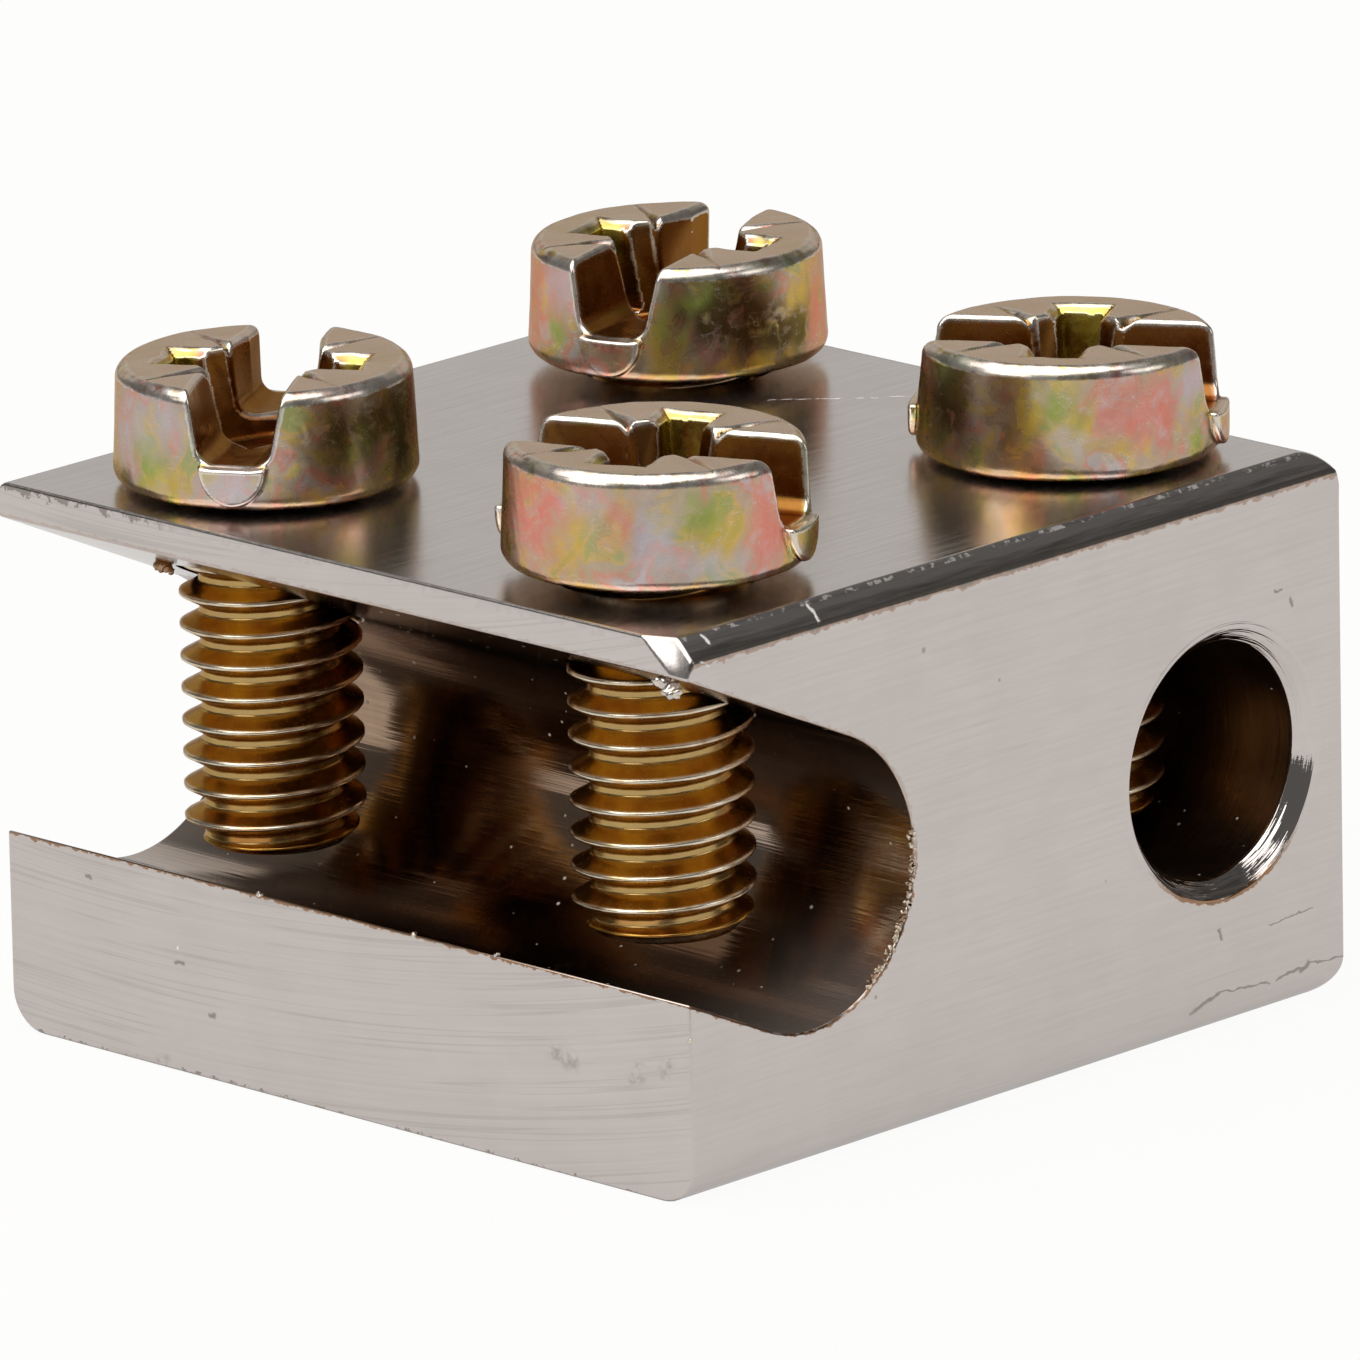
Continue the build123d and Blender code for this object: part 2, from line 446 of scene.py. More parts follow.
def drawn_bar(sizes, plating):
    """The bar's section run along Y, met with its side view run along X."""
    low, high = BLOCK_LOW, BLOCK_HIGH
    bottom, left_top, back = sizes.bottom_edge, sizes.left_top_edge, sizes.back_edge
    flat = sizes.right_top_edge
    section = [
        *arc((low.x + bottom, low.z + bottom), bottom, 180, 270, ROUNDING_STEPS),
        *arc((high.x - bottom, low.z + bottom), bottom, 270, 360, ROUNDING_STEPS),
        (high.x, high.z - flat),
        (high.x - flat, high.z),
        *arc((low.x + left_top, high.z - left_top), left_top, 90, 180, 6),
    ]
    side = [
        (low.y - back, low.z),
        *arc((high.y - back, low.z + back), back, 270, 360, ROUNDING_STEPS),
        *arc((high.y - back, high.z - back), back, 0, 90, ROUNDING_STEPS),
        (low.y - back, high.z),
    ]
    bar = coated(prism("clamp_block", section, "Y", low.y, high.y), plating)
    view = coated(prism("side", side, "X", low.x - back, high.x + back), plating)
    combine(bar, view, "INTERSECT")
    return bar


def slot_tool(sizes):
    """The slanted slot with its round end."""
    slope, radius = math.degrees(sizes.slot_slope), sizes.slot_width / 2
    heading = Vector((-math.cos(sizes.slot_slope), math.sin(sizes.slot_slope)))
    out = heading * (sizes.slot_end_inset * 3)
    end = arc(slot_centre(sizes), radius, -90 - slope, 90 - slope, SLOT_STEPS)
    outline = [*end, tuple(Vector(end[-1]) + out), tuple(Vector(end[0]) + out)]
    return prism("slot", outline, "X", BLOCK_LOW.x - radius, BLOCK_HIGH.x + radius)


def bore_tool(sizes, wall, plating):
    """The bore with its chamfered mouths, which are plated like the faces round them."""
    radius, chamfer, half = sizes.bore_diameter / 2, sizes.bore_chamfer, BLOCK_HIGH.x
    outline = [
        (0, -half - chamfer), (radius + 2 * chamfer, -half - chamfer), (radius, -half + chamfer),
        (radius, half - chamfer), (radius + 2 * chamfer, half + chamfer), (0, half + chamfer),
    ]
    tool = turned("bore", outline, Vector((0, *bore_centre(sizes))), X, BORE_STEPS)
    for face in coated(tool, wall, plating).data.polygons:
        face.material_index = int(abs(face.normal.x) > 0.1)
    return tool


def screw_centre(node):
    """X and Y of a screw's axis: the middle of its shank, which lies lowest in its node."""
    low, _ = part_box(node)
    shank = [v.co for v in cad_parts[node].data.vertices if v.co.z < low.z + 1 * MM]
    x, y = [c.x for c in shank], [c.y for c in shank]
    return (min(x) + max(x)) / 2, (min(y) + max(y)) / 2


def hole_tool(sizes, node):
    """A tapped hole's core, from the wire passage up through the top face."""
    radius, lead_in, top = sizes.hole_diameter / 2, sizes.hole_countersink, BLOCK_HIGH.z
    bottom = top - sizes.slot_end_depth
    outline = [
        (0, bottom), (radius, bottom), (radius, top - lead_in),
        (radius + 2 * lead_in, top + lead_in), (0, top + lead_in),
    ]
    return turned("hole", outline, Vector((*screw_centre(node), 0)), Z, HOLE_STEPS)


def file_corner(block, sizes):
    """Takes off the small facet at the front right top corner."""
    corner = Vector((BLOCK_HIGH.x, BLOCK_LOW.y, BLOCK_HIGH.z))
    along = corner - Vector((sizes.facet_along, 0, 0))
    down = corner - Vector((sizes.right_top_edge / 2, 0, sizes.facet_down))
    inward = corner + Vector((0, sizes.facet_depth, 0))
    normal = (inward - down).cross(along - down).normalized()
    bm = bmesh.new()
    bm.from_mesh(block.data)
    cut = bmesh.ops.bisect_plane(
        bm, geom=bm.verts[:] + bm.edges[:] + bm.faces[:], plane_co=down, plane_no=normal,
        clear_outer=True)["geom_cut"]
    bmesh.ops.contextual_create(bm, geom=[e for e in cut if isinstance(e, bmesh.types.BMEdge)])
    bmesh.ops.recalc_face_normals(bm, faces=bm.faces)
    bm.to_mesh(block.data)
    bm.free()


def break_edges(block, width, holes, hole_reach):
    """A small rounding along every sharp edge but the tapped holes', with tiny edges merged."""
    bm = bmesh.new()
    bm.from_mesh(block.data)
    bmesh.ops.remove_doubles(bm, verts=bm.verts, dist=width * MERGE_SHARE)
    bmesh.ops.dissolve_limit(bm, angle_limit=FLAT_ANGLE, verts=bm.verts, edges=bm.edges)
    weight = bm.edges.layers.float.new("bevel_weight_edge")
    for edge in bm.edges:
        sharp = edge.is_manifold and edge.calc_face_angle() > SHARP_ANGLE
        in_hole = any(
            all((v.co.xy - hole).length < hole_reach for v in edge.verts) for hole in holes)
        edge[weight] = float(sharp and not in_hole)
    bm.to_mesh(block.data)
    bm.free()
    modify(
        block, "BEVEL", width=width, segments=3, limit_method="WEIGHT",
        use_clamp_overlap=False, miter_outer="MITER_ARC")


def check_solid(piece, node):
    """Raises an error unless the piece is closed and has the volume of its CAD node."""
    volumes, gaps = [], 0
    for mesh in (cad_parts[node].data, piece.data):
        bm = bmesh.new()
        bm.from_mesh(mesh)
        volumes.append(bm.calc_volume())
        gaps = sum(not edge.is_manifold for edge in bm.edges)
        bm.free()
    if gaps or abs(volumes[1] / volumes[0] - 1) > VOLUME_TOLERANCE:
        raise RuntimeError(f"{piece.name} isn't sound: {gaps} open edges, volumes {volumes}")


def smooth_by_angle(piece):
    """Smooth shading with sharp creases, and with the broad flat faces left truly flat."""
    piece.data.shade_smooth()
    bm = bmesh.new()
    bm.from_mesh(piece.data)
    for edge in bm.edges:
        edge.smooth = not edge.is_manifold or edge.calc_face_angle() < CREASE_ANGLE
    bm.to_mesh(piece.data)
    bm.free()
    modify(piece, "WEIGHTED_NORMAL", keep_sharp=True, weight=100)


class CLAMP_OT_block(bpy.types.Operator):
    """Builds the plated block over its CAD node"""
    bl_idname = "clamp.block"
    bl_label = "Block"

    def execute(self, context):
        sizes, _, finish, _ = settings()
        wall, plating = wall_material(finish), nickel_material(finish, sizes)
        block = drawn_bar(sizes, plating)
        combine(block, coated(slot_tool(sizes), wall), "DIFFERENCE")
        combine(block, bore_tool(sizes, wall, plating), "DIFFERENCE")
        for node in SCREWS:
            combine(block, coated(hole_tool(sizes, node), wall), "DIFFERENCE")
        file_corner(block, sizes)
        holes = [Vector(screw_centre(node)) for node in SCREWS]
        hole_reach = sizes.hole_diameter / 2 + 1.1 * sizes.hole_countersink
        break_edges(block, sizes.edge_softness, holes, hole_reach)
        check_solid(block, "clamp_body")
        smooth_by_angle(block)
        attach(block, "block")
        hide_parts("clamp_body")
        return {"FINISHED"}


# The screw head, as a rounded distance field in millimetres

# Edge roundings that the sizes above leave out
TONGUE_EDGE, LIP_EDGE, LIP_FILLET, WING_CORNER, RECESS_FLOOR = 0.05, 0.08, 0.04, 0.06, 0.1
PINCH_START, PINCH_RUN = 0.9, 1.2  # along the driver slot, from the head's axis
GRID_FAR = 10.0  # the field's value far from the surface
NORMAL_NUDGE, SURFACE_PASSES = 0.004, 3
ROOT_HALF = math.sqrt(0.5)


def meet(first, second, radius):
    """What both shapes share, with the edge between them rounded."""
    reach = np.hypot(np.maximum(radius + first, 0), np.maximum(radius + second, 0))
    return np.minimum(-radius, np.maximum(first, second)) + reach


def join(first, second, radius):
    """Both shapes together, with a fillet between them."""
    return -meet(-first, -second, radius)


def blank_field(points, sizes):
    """Distance to the turned blank of the head: below zero inside the metal."""
    x, y, z = points
    lean = sizes.head_draft
    side = (np.hypot(x, y) - sizes.head_diameter / 2 / MM) * math.cos(lean) + z * math.sin(lean)
    topped = meet(side, z - sizes.head_height / MM, sizes.top_edge / MM)
    return meet(topped, -z, sizes.under_edge / MM)


def wobble(x, y, z, pace):
    """A smooth uneven value between about -1 and 1, with this many swings to the millimetre."""
    first = np.sin(pace * (2.1 * x + 0.7 * y) + 1.3) * np.cos(pace * (1.7 * y - 0.9 * z) + 0.4)
    second = (
        np.sin(pace * (3.9 * y + 1.1 * x - 2.3 * z) + 2.0)
        * np.cos(pace * (3.1 * x - 1.3 * y) + 5.1))
    return 0.65 * first + 0.35 * second


def head_field(points, sizes, shift, pinch):
    """Distance to the head's surface: below zero inside. The driver slot runs along X."""
    mm = {
        name: getattr(sizes, name) / MM for name in sizes.__annotations__
        if not name.endswith("draft")}
    x, y, z = points
    top = mm["head_height"]
    strayed = (x + shift, y - shift, z + shift)
    forged = 0.014 * (1 + wobble(*strayed, 1.1)) + 0.004 * (1 + wobble(*strayed, 3.7))
    blank = blank_field(points, sizes) + forged
    uneven = mm["unevenness"] * wobble(*strayed, 1.9)
    gentle = mm["unevenness"] * wobble(*strayed, 0.8)

    floor = top - mm["slot_depth"]
    spread = math.atan2((mm["slot_top"] - mm["slot_floor"]) / 2, mm["slot_depth"])
    wall = (np.abs(y) - mm["slot_floor"] / 2) * math.cos(spread) - (z - floor) * math.sin(spread)
    pinched = pinch * np.clip((x - PINCH_START) / PINCH_RUN, 0, 1)
    closed = pinched * np.clip((z - floor) / mm["slot_depth"], 0, 1)
    slot = meet(wall + closed, floor - z, mm["slot_corner"])

    tongue = np.hypot(y / (mm["slot_floor"] / 2), (z - floor) / mm["lip_drop"]) - 1
    tongue = meet(tongue * mm["slot_floor"] / 2, z - floor, TONGUE_EDGE)
    reach = np.hypot(x, y) - mm["head_diameter"] / 2 - mm["lip_proud"]
    lip = meet(reach, tongue, LIP_EDGE)

    half_wide, half_long = mm["wing_width"] / 2, mm["wing_span"] / 2
    drop = top - z
    lean = drop * math.tan(sizes.wing_draft)
    wing = meet(np.abs(x) - half_wide + lean, np.abs(y) - half_long + lean, WING_CORNER)
    wing = meet(wing, drop - mm["wing_depth"], RECESS_FLOOR)
    bevel = np.maximum(np.abs(x) - half_wide, np.abs(y) - half_long) - mm["wing_bevel"] + drop

    diagonals = np.abs(x + y) * ROOT_HALF, np.abs(x - y) * ROOT_HALF
    out, beside = np.maximum(*diagonals), np.minimum(*diagonals)
    core = out - mm["core_width"] / 2 + drop * math.tan(sizes.core_draft)
    core = meet(core * math.cos(sizes.core_draft), drop - mm["core_depth"], RECESS_FLOOR)
    fade = np.clip((mm["tick_reach"] - out) / (mm["tick_reach"] - mm["tick_start"]), 0, 1)
    tick = (beside + drop - mm["tick_radius"] * fade) * ROOT_HALF

    soft = mm["edge_softness"]
    recess = np.minimum(np.minimum(wing, bevel * ROOT_HALF), np.minimum(core, tick)) + uneven
    head = meet(join(blank, lip, LIP_FILLET), -recess, soft * 0.7)
    return meet(head, -(slot + gentle), soft + 0.4 * pinched)


def convexity(points, normals, faces):
    """How sharply the surface turns outwards at each point, for each millimetre."""
    bend, count = np.zeros(len(points)), np.zeros(len(points))
    for face in faces:
        for first, second in zip(face.T, np.roll(face, -1, axis=1).T):
            across = points[second] - points[first]
            apart = np.maximum((across ** 2).sum(1), 1e-4)
            turn = ((normals[second] - normals[first]) * across).sum(1) / apart
            for end in (first, second):
                bend += np.bincount(end, turn, len(points))
                count += np.bincount(end, None, len(points))
    return bend / np.maximum(count, 1)


def head_mesh(sizes, shift, pinch):
    """The head's surface, meshed on a grid and moved onto the exact field, and its normals."""
    step = sizes.grid_step / MM
    reach = sizes.head_diameter / 2 / MM + 4 * step
    ticks = np.arange(-reach, reach + step, step)
    levels = np.arange(-3 * step, sizes.head_height / MM + 3 * step, step)

    def field_at(places):
        return head_field(places, sizes, shift, pinch)

    def slope_at(places):
        ahead, behind = (
            [field_at((places + nudge * axis).T) for axis in np.eye(3)]
            for nudge in (NORMAL_NUDGE, -NORMAL_NUDGE))
        return (np.array(ahead) - np.array(behind)).T / (2 * NORMAL_NUDGE)

    grid = openvdb.FloatGrid(GRID_FAR)
    field = field_at(np.meshgrid(ticks, ticks, levels, indexing="ij"))
    grid.copyFromArray(field.astype(np.float32))
    points, triangles, quads = grid.convertToPolygons(isovalue=0.0, adaptivity=0.0)
    points = points * step + np.array([ticks[0], ticks[0], levels[0]])
    for _ in range(SURFACE_PASSES):
        slope = slope_at(points)
        steepness = np.maximum((slope ** 2).sum(1), 0.25)
        move = (field_at(points.T) / steepness)[:, None] * slope
        points = points - np.clip(move, -step / 2, step / 2)
    normals = slope_at(points)
    normals /= np.linalg.norm(normals, axis=1)[:, None]

    mesh = bpy.data.meshes.new("head")
    mesh.from_pydata((points * MM).tolist(), [], [*quads.tolist(), *triangles.tolist()])
    # How far a point lies inside the recess; the material paints shade there
    depth = np.clip(-blank_field(points.T, sizes) / 0.2, 0, 1)
    x, y, _ = np.abs(points.T)
    end = np.clip((y - 1.5) / 0.2, 0, 1) * np.clip((0.8 - x) / 0.15, 0, 1) * depth
    bend = convexity(points, normals, [part for part in (quads, triangles) if len(part)])
    worn = np.clip((bend - 0.4) / 2.2, 0, 1) * np.clip(points[:, 2] / 0.8, 0.35, 1)
    return mesh, normals, {"recess": depth, "wing_end": end, "worn": worn}


# Screws

# The grid's rows past this share of the shank close its tip
CLOSING_ROWS = 1.04
# The thread's section, as shares of half a pitch: the flat at its root and the start of its crest
ROOT_FLAT, CREST_FLAT = 0.115, 0.45
TIP_ROUNDING = 0.05 * MM
STEPS_ROUND, STEPS_ALONG = 97, 260


def thread_tree():
    """A threaded shank: a grid rolled into a tube whose radius follows the thread."""
    tree, given = node_group("GeometryNodeTree", "thread", [
        ("Geometry", "Geometry"), ("Crest radius", "Float"), ("Root radius", "Float"),
        ("Pitch", "Float"), ("Phase", "Float"), ("Length", "Float"), ("Tip chamfer", "Float"),
        ("Steps round", "Int"), ("Steps along", "Int"), ("Material", "Material"),
    ], [("Geometry", "Geometry")])
    crest, root, whole = given["Crest radius"], given["Root radius"], given["Length"]
    grid = read(tree, "GeometryNodeMeshGrid", {
        "Size X": 1.0, "Size Y": 1.0,
        "Vertices X": given["Steps round"], "Vertices Y": given["Steps along"]})
    x, y, _ = read(tree, "GeometryNodeInputPosition").split()
    turn, row = x + 0.5, y + 0.5
    past = row.mapped(1 / CLOSING_ROWS, 1.0)
    depth = (row * CLOSING_ROWS).on("MINIMUM", 1.0) * whole
    wound = depth / given["Pitch"] - turn
    flank = (wound + given["Phase"]).on("PINGPONG", 0.5).mapped(ROOT_FLAT, CREST_FLAT)
    cone = crest - given["Tip chamfer"] + (whole - depth)
    radius = (flank * (crest - root) + root).on("SMOOTH_MIN", cone, TIP_ROUNDING)
    closed = radius * (1.0 - past)
    heading = turn * -math.tau
    rolled = combined(
        closed * heading.on("COSINE"), closed * heading.on("SINE"), depth * -1.0)
    kept = read(
        tree, "GeometryNodeStoreNamedAttribute",
        {"Geometry": grid, "Name": "crest", "Value": flank}, data_type="FLOAT", domain="POINT")
    moved = read(tree, "GeometryNodeSetPosition", {"Geometry": kept, "Position": rolled})
    merged = read(tree, "GeometryNodeMergeByDistance", {"Geometry": moved, "Distance": 1e-6})
    flipped = read(tree, "GeometryNodeFlipFaces", {0: merged})
    return end_geometry(tree, flipped, given["Material"])


def grown(name, tree, base=None, **inputs):
    """A plain mesh made by a Geometry Nodes tree from a base mesh, with these inputs."""
    carrier = new_object(name, base or bpy.data.meshes.new(name))
    modifier = carrier.modifiers.new(name, "NODES")
    modifier.node_group = tree
    for item in tree.interface.items_tree:
        key = item.name.lower().replace(" ", "_")
        if item.in_out == "INPUT" and key in inputs:
            modifier[item.identifier] = inputs[key]
    apply_modifiers(carrier)
    mesh = carrier.data
    bpy.data.objects.remove(carrier)
    return mesh


def slot_heading(node):
    """The direction of a screw's driver slot, from 0 to pi: the middle of its furthest lip."""
    centre = Vector(screw_centre(node))
    reach = [Vector(v.co.xy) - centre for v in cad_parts[node].data.vertices]
    far = max(offset.length for offset in reach)
    lips = [offset for offset in reach if offset.length > far - 0.005 * MM]
    first = lips[0]
    turns = [
        math.atan2(first.cross(offset), first.dot(offset))
        for offset in lips if first.dot(offset) > 0]
    return (math.atan2(first.y, first.x) + (min(turns) + max(turns)) / 2) % math.pi


def joined(name, parts):
    """One mesh from several: each with its matrix, material slot and named vertex values."""
    places, faces, slots = [], [], []
    values = {key: [] for _, _, _, given in parts for key in given}
    for mesh, matrix, slot, given in parts:
        first = len(places)
        places += [matrix @ v.co for v in mesh.vertices]
        faces += [[first + corner for corner in face.vertices] for face in mesh.polygons]
        slots += [slot] * len(mesh.polygons)
        for key, column in values.items():
            column.extend(given.get(key, [0.0] * len(mesh.vertices)))
    whole = bpy.data.meshes.new(name)
    whole.from_pydata(places, [], faces)
    whole.polygons.foreach_set("material_index", slots)
    whole.shade_smooth()
    for key, column in values.items():
        whole.attributes.new(key, "FLOAT", "POINT").data.foreach_set("value", column)
    return whole


def read_values(mesh, key):
    """A named vertex value of a mesh."""
    column = np.zeros(len(mesh.vertices), np.float32)
    mesh.attributes[key].data.foreach_get("value", column)
    return column


# For each screw: its head's own unevenness, how far its driver slot is pinched at one end, in
# millimetres, and where its thread starts, as a share of the pitch
SHAPES = {
    "slot_screw_left": (0.0, 0.24, 0.665),
    "slot_screw_right": (2.7, 0.0, 0.57),
    "bore_screw_left": (5.9, 0.34, 0.35),
    "bore_screw_right": (9.4, 0.0, 0.35),
}
TINTS = ("lavender", "gold", "green", "pink", "dark")
# Each head's tints: tint, heading in degrees, height in millimetres, half width in degrees, half
# height in millimetres, strength. Besides the film's own colours, the table paints light: the dark
# entries are painted dark reflections, the wide low gold bands are a painted highlight along the
# lower rim, the right bore screw's narrow gold strip is a painted highlight, and the small gold and
# lavender spots in the left bore screw's dark patches are painted glints.
TINTS_AND_PAINTED_LIGHT = {
    "slot_screw_left": (
        ("gold", -128, 1.2, 5, 1.2, 0.8), ("lavender", -108, 1.4, 14, 0.9, 0.9),
        ("green", -96, 0.8, 10, 0.5, 0.9), ("lavender", -84, 1.9, 10, 0.6, 0.8),
        ("gold", -88, 0.5, 12, 0.3, 0.8), ("lavender", -57, 0.5, 12, 0.5, 0.9),
        ("dark", -8, 1.6, 24, 0.8, 1.0), ("green", -4, 1.1, 14, 0.5, 0.35),
        ("dark", 22, 1.2, 17, 1.2, 1.0), ("pink", 38, 1.8, 8, 0.6, 0.7),
        ("gold", -15, 0.25, 25, 0.2, 0.8)),
    "slot_screw_right": (
        ("dark", -130, 1.2, 6, 1.5, 0.9), ("pink", -98, 1.5, 18, 1.0, 1.0),
        ("gold", -84, 0.8, 6, 0.4, 0.9), ("gold", -76, 1.2, 4, 0.4, 0.8),
        ("lavender", -72, 1.9, 10, 0.4, 0.8), ("pink", -60, 1.5, 6, 0.4, 0.8),
        ("lavender", -48, 1.2, 10, 0.9, 1.0), ("green", -28, 1.7, 10, 0.4, 0.9),
        ("gold", -20, 1.3, 10, 0.4, 1.0), ("lavender", -25, 0.6, 14, 0.4, 0.8),
        ("pink", 0, 1.1, 8, 1.0, 1.0), ("green", 38, 1.5, 12, 1.0, 0.9)),
    "bore_screw_left": (
        ("pink", -118, 1.6, 18, 1.0, 0.8), ("lavender", -100, 1.9, 8, 0.5, 0.9),
        ("green", -100, 0.8, 8, 0.4, 0.9), ("gold", -54, 0.9, 7, 0.8, 1.0),
        ("green", -50, 1.2, 6, 0.9, 0.8), ("dark", -34, 1.6, 15, 0.9, 1.0),
        ("green", -37, 1.9, 6, 0.25, 0.9), ("lavender", -28, 1.2, 6, 0.3, 0.5),
        ("dark", -12, 1.3, 16, 1.1, 1.0), ("dark", 6, 0.8, 12, 0.6, 0.9),
        ("gold", 8, 1.6, 5, 0.4, 0.9), ("pink", 24, 1.2, 12, 1.0, 1.0),
        ("gold", -20, 0.3, 25, 0.2, 0.9)),
    "bore_screw_right": (
        ("dark", -102, 1.3, 20, 1.2, 1.0), ("pink", -112, 1.7, 5, 0.3, 0.8),
        ("gold", -66, 1.4, 4, 1.0, 1.0), ("pink", -62, 0.5, 5, 0.5, 1.0),
        ("green", -51, 1.7, 9, 0.45, 1.0), ("gold", -40, 1.3, 5, 0.5, 0.9),
        ("lavender", -47, 0.8, 8, 0.4, 0.8), ("pink", -30, 1.5, 6, 0.5, 0.7),
        ("lavender", -28, 1.2, 5, 0.4, 0.5), ("gold", -28, 0.8, 6, 0.3, 0.8),
        ("pink", -20, 1.2, 5, 0.4, 0.9), ("pink", -8, 1.4, 7, 0.8, 1.0),
        ("lavender", 10, 1.8, 9, 0.5, 0.9), ("green", 8, 0.6, 8, 0.25, 0.9),
        ("gold", -100, 0.25, 18, 0.2, 0.8)),
}


def tints_and_painted_light(head, seat, node):
    """The strength of each tint at each point of a head, from where it lies on the side, painted dark
    reflections and highlights included.
    """
    places = np.array([v.co for v in head.vertices]) / MM
    height = places[:, 2]
    placed = places @ np.array(seat.to_3x3()).T
    heading = np.degrees(np.arctan2(placed[:, 1], placed[:, 0])) + 6 * wobble(*placed.T, 2.3)
    level = height + 0.2 * wobble(*(placed.T + 3.1), 2.6)
    values = {tint: np.zeros(len(places)) for tint in TINTS}
    for tint, centre, middle, width, tall, strength in TINTS_AND_PAINTED_LIGHT[node]:
        away = (heading - centre + 180) % 360 - 180
        near = np.exp(-(away / width) ** 2 - ((level - middle) / tall) ** 2)
        values[tint] += strength * near
    side = np.clip((2.45 - height) / 0.15, 0, 1)
    return {tint: np.clip(value * side, 0, 1) for tint, value in values.items()}


class CLAMP_OT_screws(bpy.types.Operator):
    """Builds the four screws over their CAD nodes, with threads and soft-edged heads"""
    bl_idname = "clamp.screws"
    bl_label = "Screws"

    def execute(self, context):
        _, sizes, finish, _ = settings()
        tree = thread_tree()
        skin = [passivated_material(finish), thread_material(finish)]
        for node in SCREWS:
            low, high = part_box(node)
            shift, pinch, phase = SHAPES[node]
            under_head = high.z - sizes.head_height
            head, normals, values = head_mesh(sizes, shift, pinch)
            seat = Matrix.Translation((*screw_centre(node), under_head))
            seat = seat @ Matrix.Rotation(slot_heading(node), 4, "Z")
            shank = grown(
                node, tree, material=skin[1], phase=phase, pitch=sizes.thread_pitch,
                crest_radius=sizes.thread_diameter / 2, root_radius=sizes.thread_root / 2,
                length=under_head - low.z, tip_chamfer=sizes.tip_chamfer,
                steps_round=STEPS_ROUND, steps_along=STEPS_ALONG)
            mesh = joined(node + "_finished", [
                (head, seat, 0, {**values, **tints_and_painted_light(head, seat, node)}),
                (shank, seat, 1, {"crest": read_values(shank, "crest")})])
            keep = (normals @ np.array(seat.to_3x3()).T).tolist()
            keep += [(0.0, 0.0, 0.0)] * (len(mesh.vertices) - len(keep))
            mesh.normals_split_custom_set_from_vertices(keep)
            screw = coated(new_object(node + "_finished", mesh), *skin)
            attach(screw, node)
            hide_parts(node)
        return {"FINISHED"}


# Burrs and chips

def chip_tree():
    """A crumpled chip of metal at each point of the base mesh, kept inside a box."""
    tree, given = node_group("GeometryNodeTree", "chips", [
        ("Geometry", "Geometry"), ("Size", "Float"), ("Jitter", "Float"), ("Length", "Vector"),
        ("Seed", "Int"), ("Low", "Vector"), ("High", "Vector"), ("Material", "Material"),
    ], [("Geometry", "Geometry")])

    def random(shift, low, high):
        vector = isinstance(low, tuple)
        first, output, kind = (0, 0, "FLOAT_VECTOR") if vector else (2, 1, "FLOAT")
        inputs = {"Seed": given["Seed"] + shift, first: low, first + 1: high}
        return read(tree, "FunctionNodeRandomValue", inputs, output, data_type=kind)

    shift = random(0.0, (-1, -1, -1), (1, 1, 1)).scaled(given["Jitter"])
    points = read(
        tree, "GeometryNodeSetPosition", {"Geometry": given["Geometry"], "Offset": shift})
    ball = read(tree, "GeometryNodeMeshIcoSphere", {"Radius": given["Size"], "Subdivisions": 3})
    size = given["Length"].scaled(random(1.0, 0.5, 1.3))
    turn = random(2.0, (-0.6, -0.6, -3.0), (0.6, 0.6, 3.0))
    chips = read(tree, "GeometryNodeInstanceOnPoints", {
        "Points": points, "Instance": ball, "Rotation": turn, "Scale": size})
    real = read(tree, "GeometryNodeRealizeInstances", {0: chips})
    place = read(tree, "GeometryNodeInputPosition")
    grain = read(tree, "ShaderNodeTexNoise", {"Vector": place, "Scale": 0.9 / given["Size"]})
    push = (grain - 0.5) * (given["Size"] * 2.2)
    crumpled = place + read(tree, "GeometryNodeInputNormal").scaled(push)
    kept = crumpled.on("MINIMUM", given["High"]).on("MAXIMUM", given["Low"])
    moved = read(tree, "GeometryNodeSetPosition", {"Geometry": real, "Position": kept})
    return end_geometry(tree, moved, given["Material"])


def points_mesh(name, places):
    """A mesh of loose points, from places in millimetres."""
    mesh = bpy.data.meshes.new(name)
    mesh.from_pydata([tuple(value * MM for value in place) for place in places], [], [])
    return mesh


def slot_rim(sizes, start, end, count):
    """Points round the slot's end on the right face, in millimetres, between two angles."""
    ring = arc(slot_centre(sizes), sizes.slot_width / 2 - 0.02 * MM, start, end, count)
    return [(BLOCK_RIGHT - 0.05, y / MM, z / MM) for y, z in ring]


# Places of chips, in millimetres
EDGE_CHIPS = tuple((x, -9.95, z) for x, z in (
    (-2.48, 4.34), (-0.51, 4.3), (2.04, 4.34), (4.44, 4.36), (9.9, 4.3), (9.95, 3.6),
    (9.93, 3.2)))
JAW_CURL = ((9.3, -9.86, 11.08), (9.46, -9.84, 10.94), (9.6, -9.83, 10.84))
HOLE_LUMP = ((-7.25, -7.75, 10.12), (-7.12, -7.72, 10.05), (-7.36, -7.8, 10.16))


